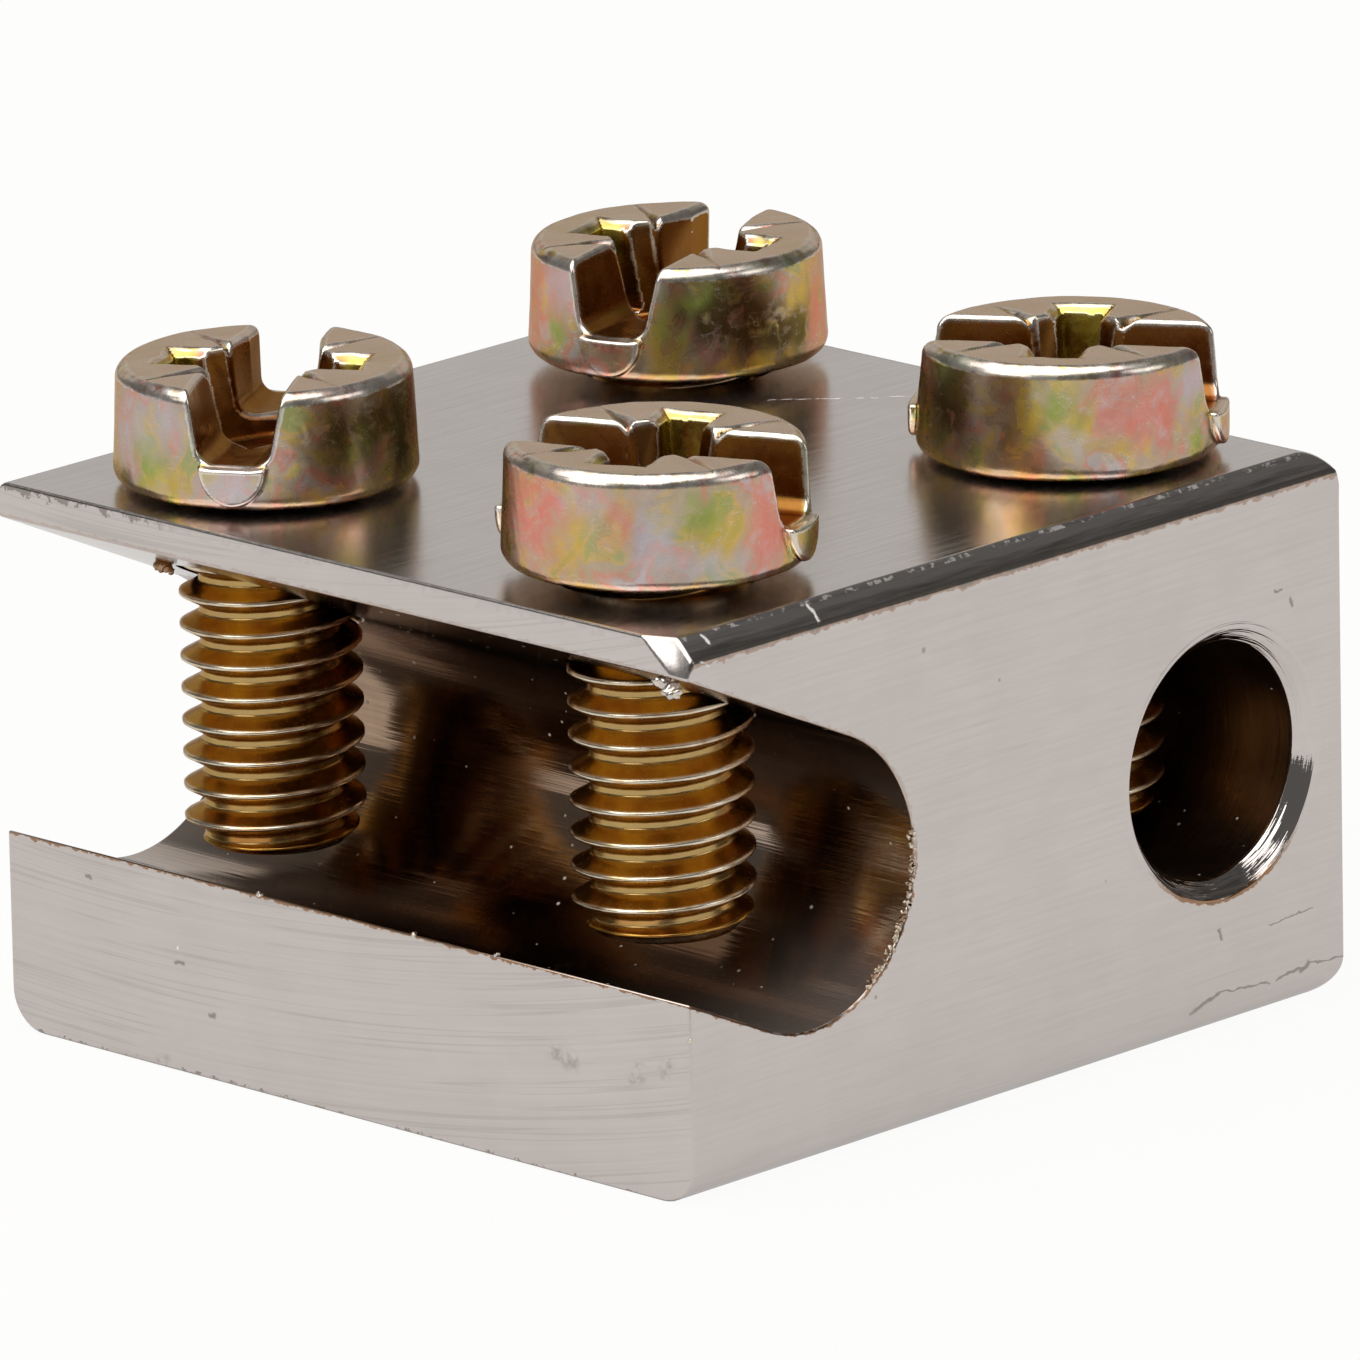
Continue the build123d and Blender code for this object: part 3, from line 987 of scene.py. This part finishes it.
class CLAMP_OT_burrs(bpy.types.Operator):
    """Builds the burrs and chips that the tools left along the cut edges"""
    bl_idname = "clamp.burrs"
    bl_label = "Burrs"

    def execute(self, context):
        sizes, _, finish, _ = settings()
        tree = chip_tree()
        silver = burr_material("bright_burr", finish.crest, finish.nickel)
        rim = burr_material("torn_rim", finish.crest, finish.bore_wall)
        brass = burr_material("bare_brass", finish.fringe, finish.bore_wall)
        # Each row: name, places, material, size and jitter in millimetres, stretch, seed
        rows = (
            ("rim_burr", slot_rim(sizes, -56, 8, 64), rim, 0.05, 0.06, (1.3, 1.0, 1.0), 3),
            ("edge_chips", EDGE_CHIPS, silver, 0.055, 0.01, (1.4, 1.0, 1.0), 11),
            ("jaw_curl", JAW_CURL, silver, 0.15, 0.01, (1.6, 1.0, 0.8), 5),
            ("hole_lump", HOLE_LUMP, brass, 0.12, 0.02, (1.3, 1.0, 0.8), 8),
        )
        parts = []
        for name, places, material, size, jitter, stretch, seed in rows:
            mesh = grown(
                name, tree, points_mesh(name, places), size=size * MM, jitter=jitter * MM,
                length=stretch, seed=seed, low=tuple(BLOCK_LOW), high=tuple(BLOCK_HIGH),
                material=material)
            parts.append((mesh, Matrix.Identity(4), len(parts), {}))
        burrs = coated(new_object("burrs", joined("burrs", parts)), *[row[2] for row in rows])
        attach(burrs, "block")
        return {"FINISHED"}


# Shader groups

def line_group():
    """Thin broken lines along the stretched direction, as a mask from 0 to 1, and their grain."""
    tree, given = node_group("ShaderNodeTree", "broken_lines", [
        ("Place", "Vector"), ("Stretch", "Vector"), ("Break", "Vector"),
        ("Thickness", "Float", 0.02), ("Share", "Float", 0.4),
    ], [("Mask", "Float"), ("Grain", "Float")])
    grain = noise(given["Place"], 1.0, 2.0, 0.6, 0.0, given["Stretch"])
    thin = abs(grain - 0.5).mapped(0.0, given["Thickness"], 1.0, 0.0)
    cut = 0.68 - given["Share"] * 0.36
    opened = noise(given["Place"], 1.0, 1.0, 0.5, 0.0, given["Break"]).mapped(cut, cut + 0.08)
    return end_group(tree, thin * opened, grain)


def mark_group():
    """A short straight mark from one place to another, tapering off, as a mask from 0 to 1."""
    tree, given = node_group("ShaderNodeTree", "short_mark", [
        ("Place", "Vector"), ("Start", "Vector"), ("End", "Vector"), ("Width", "Float", 0.05),
    ], [("Mask", "Float")])
    reach = given["End"] - given["Start"]
    offset = given["Place"] - given["Start"]
    along = offset.on("DOT_PRODUCT", reach) / reach.on("DOT_PRODUCT", reach)
    away = (offset - reach.scaled(along.mapped(0.0, 1.0))).on("LENGTH")
    return end_group(tree, away.mapped(given["Width"] * 0.3, given["Width"], 1.0, 0.0))


def speck_group():
    """Scattered small round specks of uneven size, as a mask from 0 to 1."""
    tree, given = node_group("ShaderNodeTree", "specks", [
        ("Place", "Vector"), ("Cells", "Float", 1.5), ("Share", "Float", 0.3),
        ("Radius", "Float", 0.1),
    ], [("Mask", "Float")])
    distance, shade, *_ = signals(
        tree, "ShaderNodeTexVoronoi", {"Vector": given["Place"], "Scale": given["Cells"]})
    chance, size, _ = shade.split("ShaderNodeSeparateColor")
    reach = given["Radius"] * (size + 0.35)
    near = distance.mapped(reach * 0.6, reach, 1.0, 0.0)
    return end_group(tree, near * (chance < given["Share"]))


def passage_group(sizes):
    """Distance in millimetres from the slot's and the bore's walls, in the section across them."""
    tree, given = node_group("ShaderNodeTree", "wire_passages", [("Place", "Vector")], [
        ("Slot", "Float"), ("Bore", "Float")])
    _, y, z = given["Place"].split()
    slot_y, slot_z, bore_y, bore_z = (
        value / MM for value in (*slot_centre(sizes), *bore_centre(sizes)))
    c, s = math.cos(sizes.slot_slope), math.sin(sizes.slot_slope)
    ahead, above = y - slot_y, z - slot_z
    inward = ahead * c - above * s
    slot = hypot(inward.on("MAXIMUM", 0.0), ahead * s + above * c)
    bore = hypot(y - bore_y, z - bore_z)
    return end_group(
        tree, slot - sizes.slot_width / 2 / MM, bore - sizes.bore_diameter / 2 / MM)


def broken_lines(place, stretch, gaps, thickness, share):
    """The mask and the grain of the broken lines."""
    return use_group(
        shared("broken_lines", line_group), place, Stretch=stretch, Break=gaps,
        Thickness=thickness, Share=share)[:2]


def marks(place, table):
    """The masks of a table of short marks."""
    group = shared("short_mark", mark_group)
    return [
        use_group(group, place, Start=start, End=end, Width=width)[0]
        for start, end, width in table]


def specks(place, cells, share, radius):
    """The mask of the scattered specks."""
    group = shared("specks", speck_group)
    return use_group(group, place, Cells=cells, Share=share, Radius=radius)[0]


# Materials

BROWN_SHEEN = (0.75, 0.62, 0.48, 1.0)
# Also the colour of the painted highlight on the nick's wall
BRIGHT_SCRATCH_AND_HIGHLIGHT = (0.95, 0.93, 0.9)
SAW_CENTRE = (-6.3, 61.0)  # X and Z of the centre of the saw's arcs, in millimetres

# Dark marks on the block, in millimetres: start, end, width
DARK_MARKS = (
    ((10, 5.16, 0.67), (10, 6.01, 0.92), 0.07),
    ((10, 6.01, 0.92), (10, 7.62, 0.80), 0.035),
    ((10, 7.84, 0.82), (10, 8.79, 0.93), 0.05),
    ((10, 8.60, 0.86), (10, 8.82, 0.92), 0.10),
    ((10, 8.79, 0.92), (10, 9.95, 0.86), 0.03),
    ((10, 6.05, 2.30), (10, 6.12, 2.10), 0.07),
    ((10, 7.57, 2.07), (10, 8.97, 2.12), 0.025),
    ((10, 7.86, 9.33), (10, 8.12, 9.30), 0.05),
    ((10, 8.40, 9.05), (10, 8.46, 8.90), 0.06),
    ((-4.98, -10, 2.40), (-4.78, -10, 2.42), 0.08),
    ((-4.03, -10, 1.45), (-3.9, -10, 1.44), 0.07),
    ((-7.62, -10, 3.78), (-7.5, -10, 3.74), 0.07),
)
# Faint stains on the front face: start, end, width
STAINS = (
    ((6.1, -10, 2.6), (6.6, -10, 2.5), 0.3),
    ((8.4, -10, 2.5), (8.6, -10, 2.7), 0.26),
    ((9.25, -10, 2.8), (9.35, -10, 3.0), 0.22),
    ((-5.6, -10, 0.12), (-5.3, -10, 0.2), 0.16),
)
# Bright marks: scratches on the top face, a painted highlight on the nick's wall and cuts across the
# worn flat
BRIGHT_MARKS = (
    ((-1.99, 5.19, 12), (-0.9, 6.3, 12), 0.035),
    ((-0.7, 6.45, 12), (0.09, 7.33, 12), 0.03),
    ((-4.92, -10, 2.72), (-4.88, -10, 2.52), 0.06),
    ((9.98, -9.45, 11.55), (9.98, -9.2, 11.4), 0.04),
    ((9.6, -5.95, 11.95), (9.95, -5.9, 11.6), 0.06),
    ((9.6, -9.03, 11.95), (9.9, -8.97, 11.65), 0.06),
)


def new_material(name, **constants):
    """A material, its tree, and its Principled BSDF with these plain values on its sockets."""
    material = bpy.data.materials.new(name)
    material.use_nodes = True
    shader = material.node_tree.nodes["Principled BSDF"]
    for key, value in constants.items():
        shader.inputs[key.replace("_", " ")].default_value = value
    return material, material.node_tree, shader


def dress(shader, base, roughness, relief, metallic=1.0):
    """Connects a material's looks. The relief is its height, strength and depth in millimetres."""
    height, strength, depth = relief
    bump = {"Strength": strength, "Distance": depth * MM, "Height": height}
    plug(shader.inputs["Base Color"], base)
    plug(shader.inputs["Roughness"], roughness)
    plug(shader.inputs["Metallic"], metallic)
    plug(shader.inputs["Normal"], read(height.tree, "ShaderNodeBump", bump))


def millimetres(tree):
    """Object coordinates, in millimetres."""
    return read(tree, "ShaderNodeTexCoord", output="Object").scaled(1 / MM)


def object_normal(tree):
    """The surface's normal, in object space."""
    normal = read(tree, "ShaderNodeNewGeometry", output="Normal")
    return read(
        tree, "ShaderNodeVectorTransform", {0: normal}, vector_type="NORMAL",
        convert_from="WORLD", convert_to="OBJECT")


def facing(normal, axis):
    """How much the surface faces along an axis."""
    return abs(normal.on("DOT_PRODUCT", axis))


def attribute(tree, name):
    """A named vertex value of the piece."""
    return read(tree, "ShaderNodeAttribute", output="Fac", attribute_name=name)


def ramp(value, stops):
    """A colour ramp: (position, colour) pairs."""
    made = add_node(value.tree, "ShaderNodeValToRGB", {0: value})
    elements = made.color_ramp.elements
    while len(elements) < len(stops):
        elements.new(0.5)
    for element, (position, shade) in zip(elements, stops):
        element.position = position
        element.color = (*shade, 1.0)
    return Signal(value.tree, made.outputs[0])


def burr_material(name, first, second):
    """Torn metal: two shades broken into each other."""
    material, tree, shader = new_material(name, Metallic=1.0, Roughness=0.25)
    broken = noise(millimetres(tree), 6.0).mapped(0.4, 0.6)
    plug(shader.inputs["Base Color"], mix(broken, first, second))
    return material


def nickel_material(finish, sizes):
    """Satin nickel: saw arcs on sawn faces, draw lines on drawn ones, brass along cut edges."""
    material, tree, shader = new_material("satin_nickel")
    place, normal = millimetres(tree), object_normal(tree)
    x, y, z = place.split()
    slot_wall, bore_wall = use_group(
        shared("wire_passages", passage_group, sizes), place)[:2]
    flat_low = (BLOCK_HIGH.z - sizes.right_top_edge) / MM
    chamfer = sizes.bore_chamfer / MM
    sawn = facing(normal, (0, 1, 0)).mapped(0.8, 0.95)
    on_top = facing(normal, (0, 0, 1)).mapped(0.9, 0.97)
    on_right = x > BLOCK_RIGHT - 0.06
    worn_flat = facing(normal, (ROOT_HALF, 0, ROOT_HALF)).mapped(0.93, 0.98)
    below_flat = flat_low - z

    # Lines and grain: saw arcs or draw lines
    along, below = x - SAW_CENTRE[0], SAW_CENTRE[1] - z
    arcs_place = combined(along, 0.0, hypot(along, below))
    arcs = broken_lines(arcs_place, (0.035, 1.0, 3.2), (0.2, 1.0, 1.3), 0.03, 0.75)
    drawn = broken_lines(place, (3.0, 0.05, 3.0), (1.2, 0.2, 1.2), 0.016, 0.35)
    lines = mix_value(sawn, drawn[0] * 0.45, arcs[0]) * 0.17
    grain = mix_value(
        sawn, noise(place, 1.0, 2.0, 0.7, 0.0, (9.0, 0.3, 9.0)),
        noise(arcs_place, 1.0, 2.0, 0.7, 0.0, (0.12, 1.0, 9.0)))
    patches = noise(place, 0.5, 2.0, 0.6).mapped(0.4, 0.65, 0.0, 0.5)
    shade = patches + grain.mapped(0.35, 0.65, 0.0, 0.4)
    base = mix(shade, finish.nickel, finish.nickel_shade)

    # Dark marks: pits, scars and stains, with their places shaken along the surface
    pits = specks(place, 0.8, 0.12, 0.06) * 0.5
    shaking = {"Vector": place, "Scale": 4.0, "Detail": 2.0}
    jolt = read(tree, "ShaderNodeTexNoise", shaking, "Color") - (0.5, 0.5, 0.5)
    jolted = place + jolt.scaled(0.22) * ((1.0, 1.0, 1.0) - abs(normal))
    scars = highest(*marks(jolted, DARK_MARKS)) * 0.7
    blots = noise(place, 3.5, 2.0, 0.7).mapped(0.42, 0.62, 0.0, 0.4)
    stains = highest(*marks(jolted, STAINS)) * blots

    # Dark rims of the sawn faces, the worn flat's streaks and torn lower edge, and painted shade
    # along the foot
    ragged = noise(place, 3.0, 3.0, 0.75)
    rough_edge = ragged.mapped(0.4, 0.62, -0.05, 0.22)
    top_rim = (z > BLOCK_TOP - 0.04 - rough_edge) * x.mapped(-4.6, -5.6, 0.12, 1.0)
    foot_rim = z < rough_edge * 0.7 - 0.04
    rims = highest(top_rim, foot_rim) * (sawn * 0.7)
    streaks = noise(place, 1.0, 2.0, 0.75, 0.0, (9.0, 0.5, 9.0)).mapped(0.3, 0.7, 0.1, 0.85)
    band = z.mapped(flat_low + 0.26, flat_low + 0.16, -0.5, 0.05) + streaks
    tear = noise(place, 2.2, 3.0, 0.75).mapped(0.42, 0.72, 0.0, 0.15)
    torn = on_right * (below_flat - tear).mapped(-0.02, 0.03, 0.75, 0.0)
    # Painted shade: the drawn faces darken towards the bottom, standing in for the reflected contact
    # shadow
    painted_foot_shade = z.mapped(0.03, 0.2, 0.95, 0.0) * (1.0 - sawn)
    # Real dark marks, together with the painted shade along the foot
    dark = highest(lines, pits, scars, stains, rims, worn_flat * band, torn, painted_foot_shade)
    base = mix(dark, base, finish.scratch_and_shade)

    # Bright marks with the painted highlight on the nick's wall, the bright line along the worn flat
    # and crumbs on the top face
    dots = noise(place, 5.0, 1.0).mapped(0.42, 0.5)
    lip_line = worn_flat * (z > BLOCK_TOP - 0.09)
    lip_line = lip_line * noise(place, 4.0, 2.0, 0.7).mapped(0.52, 0.62, 0.0, 0.4)
    crumbs = specks(place, 1.7, 0.3, 0.05) * (on_top * 0.6)
    bright = highest(highest(*marks(jolted, BRIGHT_MARKS)) * dots, lip_line, crumbs)
    base = mix(bright, base, BRIGHT_SCRATCH_AND_HIGHLIGHT)

    # Brass along the cut edges, and the turned rings in the bore's mouth
    reach = ragged.mapped(0.35, 0.7, 0.02, 0.12)
    slot_edge = (slot_wall < reach) * z.mapped(6.5, 5.5, 0.25, 1.0)
    bore_rim = (abs(bore_wall - (chamfer + 0.03)) < reach * 0.8) * z.mapped(4.2, 3.3)
    flat_rim = (abs(below_flat - (tear + 0.04)) < 0.045) * on_right * 0.6
    base = mix(highest(slot_edge, bore_rim, flat_rim) * 0.8, base, finish.fringe)
    mouth = bore_wall.mapped(chamfer + 0.12, chamfer - 0.02) * bore_wall.mapped(-0.1, 0.02)
    rings = mouth * noise(combined(bore_wall, y * 0.05, 0.0), 9.0, 2.0, 0.75)
    height = rings * 16.0 + (grain * 0.8 - lines)
    roughness = mix_value(mouth, grain.mapped(0.3, 0.7, 0.18, 0.26), 0.08)
    dress(shader, base, roughness, (height, 0.3, 0.011), bright * -0.8 + 1.0)
    return material


def wall_material(finish):
    """Tarnished brass, brushed along the slot and turned round the bore, with bright dust."""
    material, tree, shader = new_material("machined_wall")
    place = millimetres(tree)
    x, y, z = place.split()
    in_bore = y > 0.0
    grain = mix_value(
        in_bore, noise(place, 1.0, 2.0, 0.75, 0.0, (0.12, 9.0, 9.0)),
        noise(place, 1.0, 2.0, 0.75, 0.0, (9.0, 0.3, 0.3)))
    dust = specks(place, 2.2, 0.6, 0.085)
    patches = noise(place, 0.7, 2.0, 0.6).mapped(0.35, 0.65, 0.0, 0.45)
    shade = patches + grain.mapped(0.35, 0.65, 0.0, 0.35) + in_bore * 0.35
    base = mix(shade, finish.bore_wall, [value * 0.55 for value in finish.bore_wall])
    ends = highest(x.mapped(3.5, 10.0, 0.0, 0.7), x.mapped(-6.5, -10.0, 0.0, 0.5))
    ends = ends * (1.0 - in_bore)
    base = mix(dust, mix(ends, base, finish.nickel_shade), finish.rubbed)
    film = ends * z.mapped(5.0, 3.8) * 0.25
    roughness = mix_value(dust, mix_value(in_bore, 0.13, 0.3), 0.9)
    dress(shader, base, roughness, (grain, 0.6, 0.01), 1.0 - highest(dust, film))
    return material


def passivated_material(finish):
    """Zinc with a yellow iridescent passivation: an uneven film, rubbed off the edges, with painted
    shade in the recess, painted light on the tops, and painted reflections and highlights on the
    sides.
    """
    material, tree, shader = new_material("yellow_passivated_zinc", Specular_Tint=BROWN_SHEEN)
    place = millimetres(tree)
    film = noise(place, 1.0, 3.0, 0.5, 0.9)
    broken = noise(place + (7.3, 2.9, 4.1), 2.2, 4.0, 0.62, 0.5)
    base = ramp(film, (
        (0.34, finish.lavender), (0.42, finish.pink), (0.48, finish.tan), (0.54, finish.tan),
        (0.60, finish.gold), (0.67, finish.green)))
    base = mix(0.35, base, finish.tan)
    # The dark tint paints dark reflections; the table's gold rim bands, gold strip and small spots
    # paint highlights and glints; the rest are the film's own colours
    tints = (("lavender", 0.38), ("pink", 0.36), ("dark", 0.34), ("gold", 0.42), ("green", 0.40))
    for tint, low in tints:
        cover = broken.mapped(low, low + 0.14, 0.45, 1.0) * attribute(tree, tint)
        base = mix(cover, base, getattr(finish, tint))
    # Painted light: faces that look straight up are lightened towards the head top colour
    level = facing(object_normal(tree), (0, 0, 1)).mapped(0.93, 0.985, 0.0, 0.93)
    base = mix(level, base, finish.top)
    scratches, grain = broken_lines(place, (1.8, 1.8, 3.4), (1.6, 1.6, 1.6), 0.014, 0.5)
    base = mix(scratches * 0.4, base, finish.crest)
    # Painted shade: the recess and driver slot are darkened towards the recess colour
    recess = attribute(tree, "recess")
    base = mix(recess * 0.97, base, finish.recess)
    worn = (broken - 0.5) * 0.9 + attribute(tree, "worn")
    base = mix(worn.mapped(0.4, 0.62, 0.0, 0.9) * 0.7, base, finish.rubbed)
    ends = attribute(tree, "wing_end") * broken.mapped(0.35, 0.6, 0.5, 0.95)
    base = mix(ends, base, finish.wing_end)
    height = (broken + grain * 0.6) * (recess * -0.8 + 1.0)
    dress(shader, base, broken.mapped(0.3, 0.7, 0.2, 0.34), (height, 0.35, 0.016))
    return material


def thread_material(finish):
    """The passivation on the rolled thread: brown flanks, pale crests that are rubbed and carry a
    painted highlight, and roots paled as a painted reflection.
    """
    material, tree, shader = new_material("passivated_thread", Specular_Tint=BROWN_SHEEN)
    place = millimetres(tree)
    crest = attribute(tree, "crest")
    drift = noise(place, 1.1, 2.0, 0.6).mapped(0.35, 0.65) * 0.45
    base = mix(drift, finish.thread, finish.gold)
    # Painted reflection: the roots are paled
    base = mix(crest.mapped(0.16, 0.04, 0.0, 0.7), base, finish.thread_root)
    # Painted highlight and wear: the crests are paled, with the rub broken up
    worn = crest.mapped(0.82, 0.97) * noise(place, 2.0, 2.0, 0.6).mapped(0.3, 0.55, 0.4, 1.0)
    base = mix(worn, base, finish.crest)
    fine = noise(place, 5.0)
    dress(shader, base, fine.mapped(0.3, 0.7, 0.2, 0.28), (fine, 0.15, 0.005))
    return material


# Stage

WARM_WHITE = (0.99, 0.98, 0.97, 1.0)
DIM_GREY = (0.12, 0.12, 0.12, 1.0)
FLOOR_REACH = 1.0
# Each card: name, heading and elevation in degrees, distance, width, height in metres, glow
CARDS = (
    ("overhead", -95, 76, 0.45, 0.62, 0.56, 2.6),
    ("backdrop", 134, 19, 0.42, 0.70, 0.22, 0.60),
    ("left_front", -100, 30, 0.42, 0.22, 0.16, 2.8),
    ("right_side", 20, 26, 0.45, 0.18, 0.18, 2.0),
)


def flat_mesh(name, width, height):
    """A rectangle round the origin that faces up."""
    x, y = width / 2, height / 2
    mesh = bpy.data.meshes.new(name)
    mesh.from_pydata([(-x, -y, 0), (x, -y, 0), (x, y, 0), (-x, y, 0)], [], [(0, 1, 2, 3)])
    return mesh


def add_camera(stage):
    """The camera at the photograph's viewing angle."""
    a, e, r = stage.azimuth, stage.elevation, stage.roll
    back = Vector((math.sin(a) * math.cos(e), -math.cos(a) * math.cos(e), math.sin(e)))
    level_right = Vector((math.cos(a), math.sin(a), 0))
    level_up = back.cross(level_right)
    right = level_right * math.cos(r) + level_up * math.sin(r)
    up = level_up * math.cos(r) - level_right * math.sin(r)
    data = bpy.data.cameras.new("camera")
    data.lens, data.sensor_width = stage.lens, 36
    data.clip_start, data.clip_end = 10 * MM, 10000 * MM
    camera = new_object("camera", data)
    middle = Vector((0, 0, (BLOCK_LOW.z + BLOCK_HIGH.z) / 2))
    spot = middle + back * stage.distance + right * stage.aim_right + up * stage.aim_up
    axes = Matrix((right, up, back)).transposed().to_4x4()
    camera.matrix_world = Matrix.Translation(spot) @ axes
    bpy.context.scene.camera = camera


def add_card(name, heading, elevation, distance, width, height, glow):
    """A card that glows evenly towards the block, unseen by the camera."""
    e, a = math.radians(elevation), math.radians(heading)
    towards = Vector((math.cos(a) * math.cos(e), math.sin(a) * math.cos(e), math.sin(e)))
    material, _, _ = new_material(
        name, Roughness=1.0, Base_Color=(0.0, 0.0, 0.0, 1.0), Specular_IOR_Level=0.0,
        Emission_Color=(1.0, 0.99, 0.97, 1.0), Emission_Strength=glow)
    card = coated(new_object(name, flat_mesh(name, width, height)), material)
    card.location = towards * distance + Vector((0, 0, 6 * MM))
    card.rotation_mode = "QUATERNION"
    card.rotation_quaternion = towards.to_track_quat("Z", "Y")
    card.visible_camera = False


def floor_material():
    """White to the camera and in reflections, with a trace of the block's shadow."""
    material, tree, shader = new_material(
        "pale_floor", Roughness=0.9, Base_Color=(0.9, 0.9, 0.9, 1.0))
    seen, glossy = (
        read(tree, "ShaderNodeLightPath", output=f"Is {kind} Ray") for kind in ("Camera", "Glossy"))
    glow = read(tree, "ShaderNodeEmission", {
        "Color": (0.99, 0.985, 0.98, 1.0), "Strength": seen * 0.24 + 0.76})
    blend = read(tree, "ShaderNodeMixShader", {
        0: seen * 0.965 + glossy * 0.7, 1: Signal(tree, shader.outputs[0]), 2: glow})
    plug(tree.nodes["Material Output"].inputs["Surface"], blend)
    return material


def add_world(scene):
    """A tent that is white to the camera and dim in reflections."""
    world = bpy.data.worlds.new("tent")
    world.use_nodes = True
    scene.world = world
    tree = world.node_tree
    dim = tree.nodes["Background"]
    dim.inputs["Color"].default_value = DIM_GREY
    white = read(tree, "ShaderNodeBackground", {"Color": WARM_WHITE, "Strength": 1.0})
    seen = read(tree, "ShaderNodeLightPath", output="Is Camera Ray")
    parts = {0: seen, 1: Signal(tree, dim.outputs[0]), 2: white}
    blend = read(tree, "ShaderNodeMixShader", parts)
    plug(tree.nodes["World Output"].inputs["Surface"], blend)


class CLAMP_OT_stage(bpy.types.Operator):
    """Sets the world, the floor, the cards and the camera"""
    bl_idname = "clamp.stage"
    bl_label = "Stage"

    def execute(self, context):
        _, _, _, stage = settings()
        context.scene.view_settings.view_transform = "Standard"
        add_world(context.scene)
        floor = new_object("floor", flat_mesh("floor", 2 * FLOOR_REACH, 2 * FLOOR_REACH))
        coated(floor, floor_material())
        add_camera(stage)
        for card in CARDS:
            add_card(*card)
        return {"FINISHED"}


class CLAMP_PT_panel(bpy.types.Panel):
    """Lists the clamp's pieces"""
    bl_idname = "CLAMP_PT_panel"
    bl_label = "Earthing clamp"
    bl_space_type = "VIEW_3D"
    bl_region_type = "UI"
    bl_category = "Clamp"

    def draw(self, context):
        for operator in OPERATORS:
            self.layout.operator(operator.bl_idname)


GROUPS = {
    "clamp_block": BlockSizes,
    "clamp_screw": ScrewSizes,
    "clamp_finish": Finishes,
    "clamp_stage": StageSettings,
}
OPERATORS = (CLAMP_OT_block, CLAMP_OT_screws, CLAMP_OT_burrs, CLAMP_OT_stage)


def register():
    for kind in (*GROUPS.values(), *OPERATORS, CLAMP_PT_panel):
        bpy.utils.register_class(kind)
    for name, kind in GROUPS.items():
        setattr(bpy.types.Scene, name, PointerProperty(type=kind))


def unregister():
    for name in GROUPS:
        delattr(bpy.types.Scene, name)
    for kind in (CLAMP_PT_panel, *reversed(OPERATORS), *reversed(GROUPS.values())):
        bpy.utils.unregister_class(kind)


def main():
    register()
    for operator in OPERATORS:
        family, name = operator.bl_idname.split(".")
        getattr(getattr(bpy.ops, family), name)()


if __name__ == "__main__":
    main()
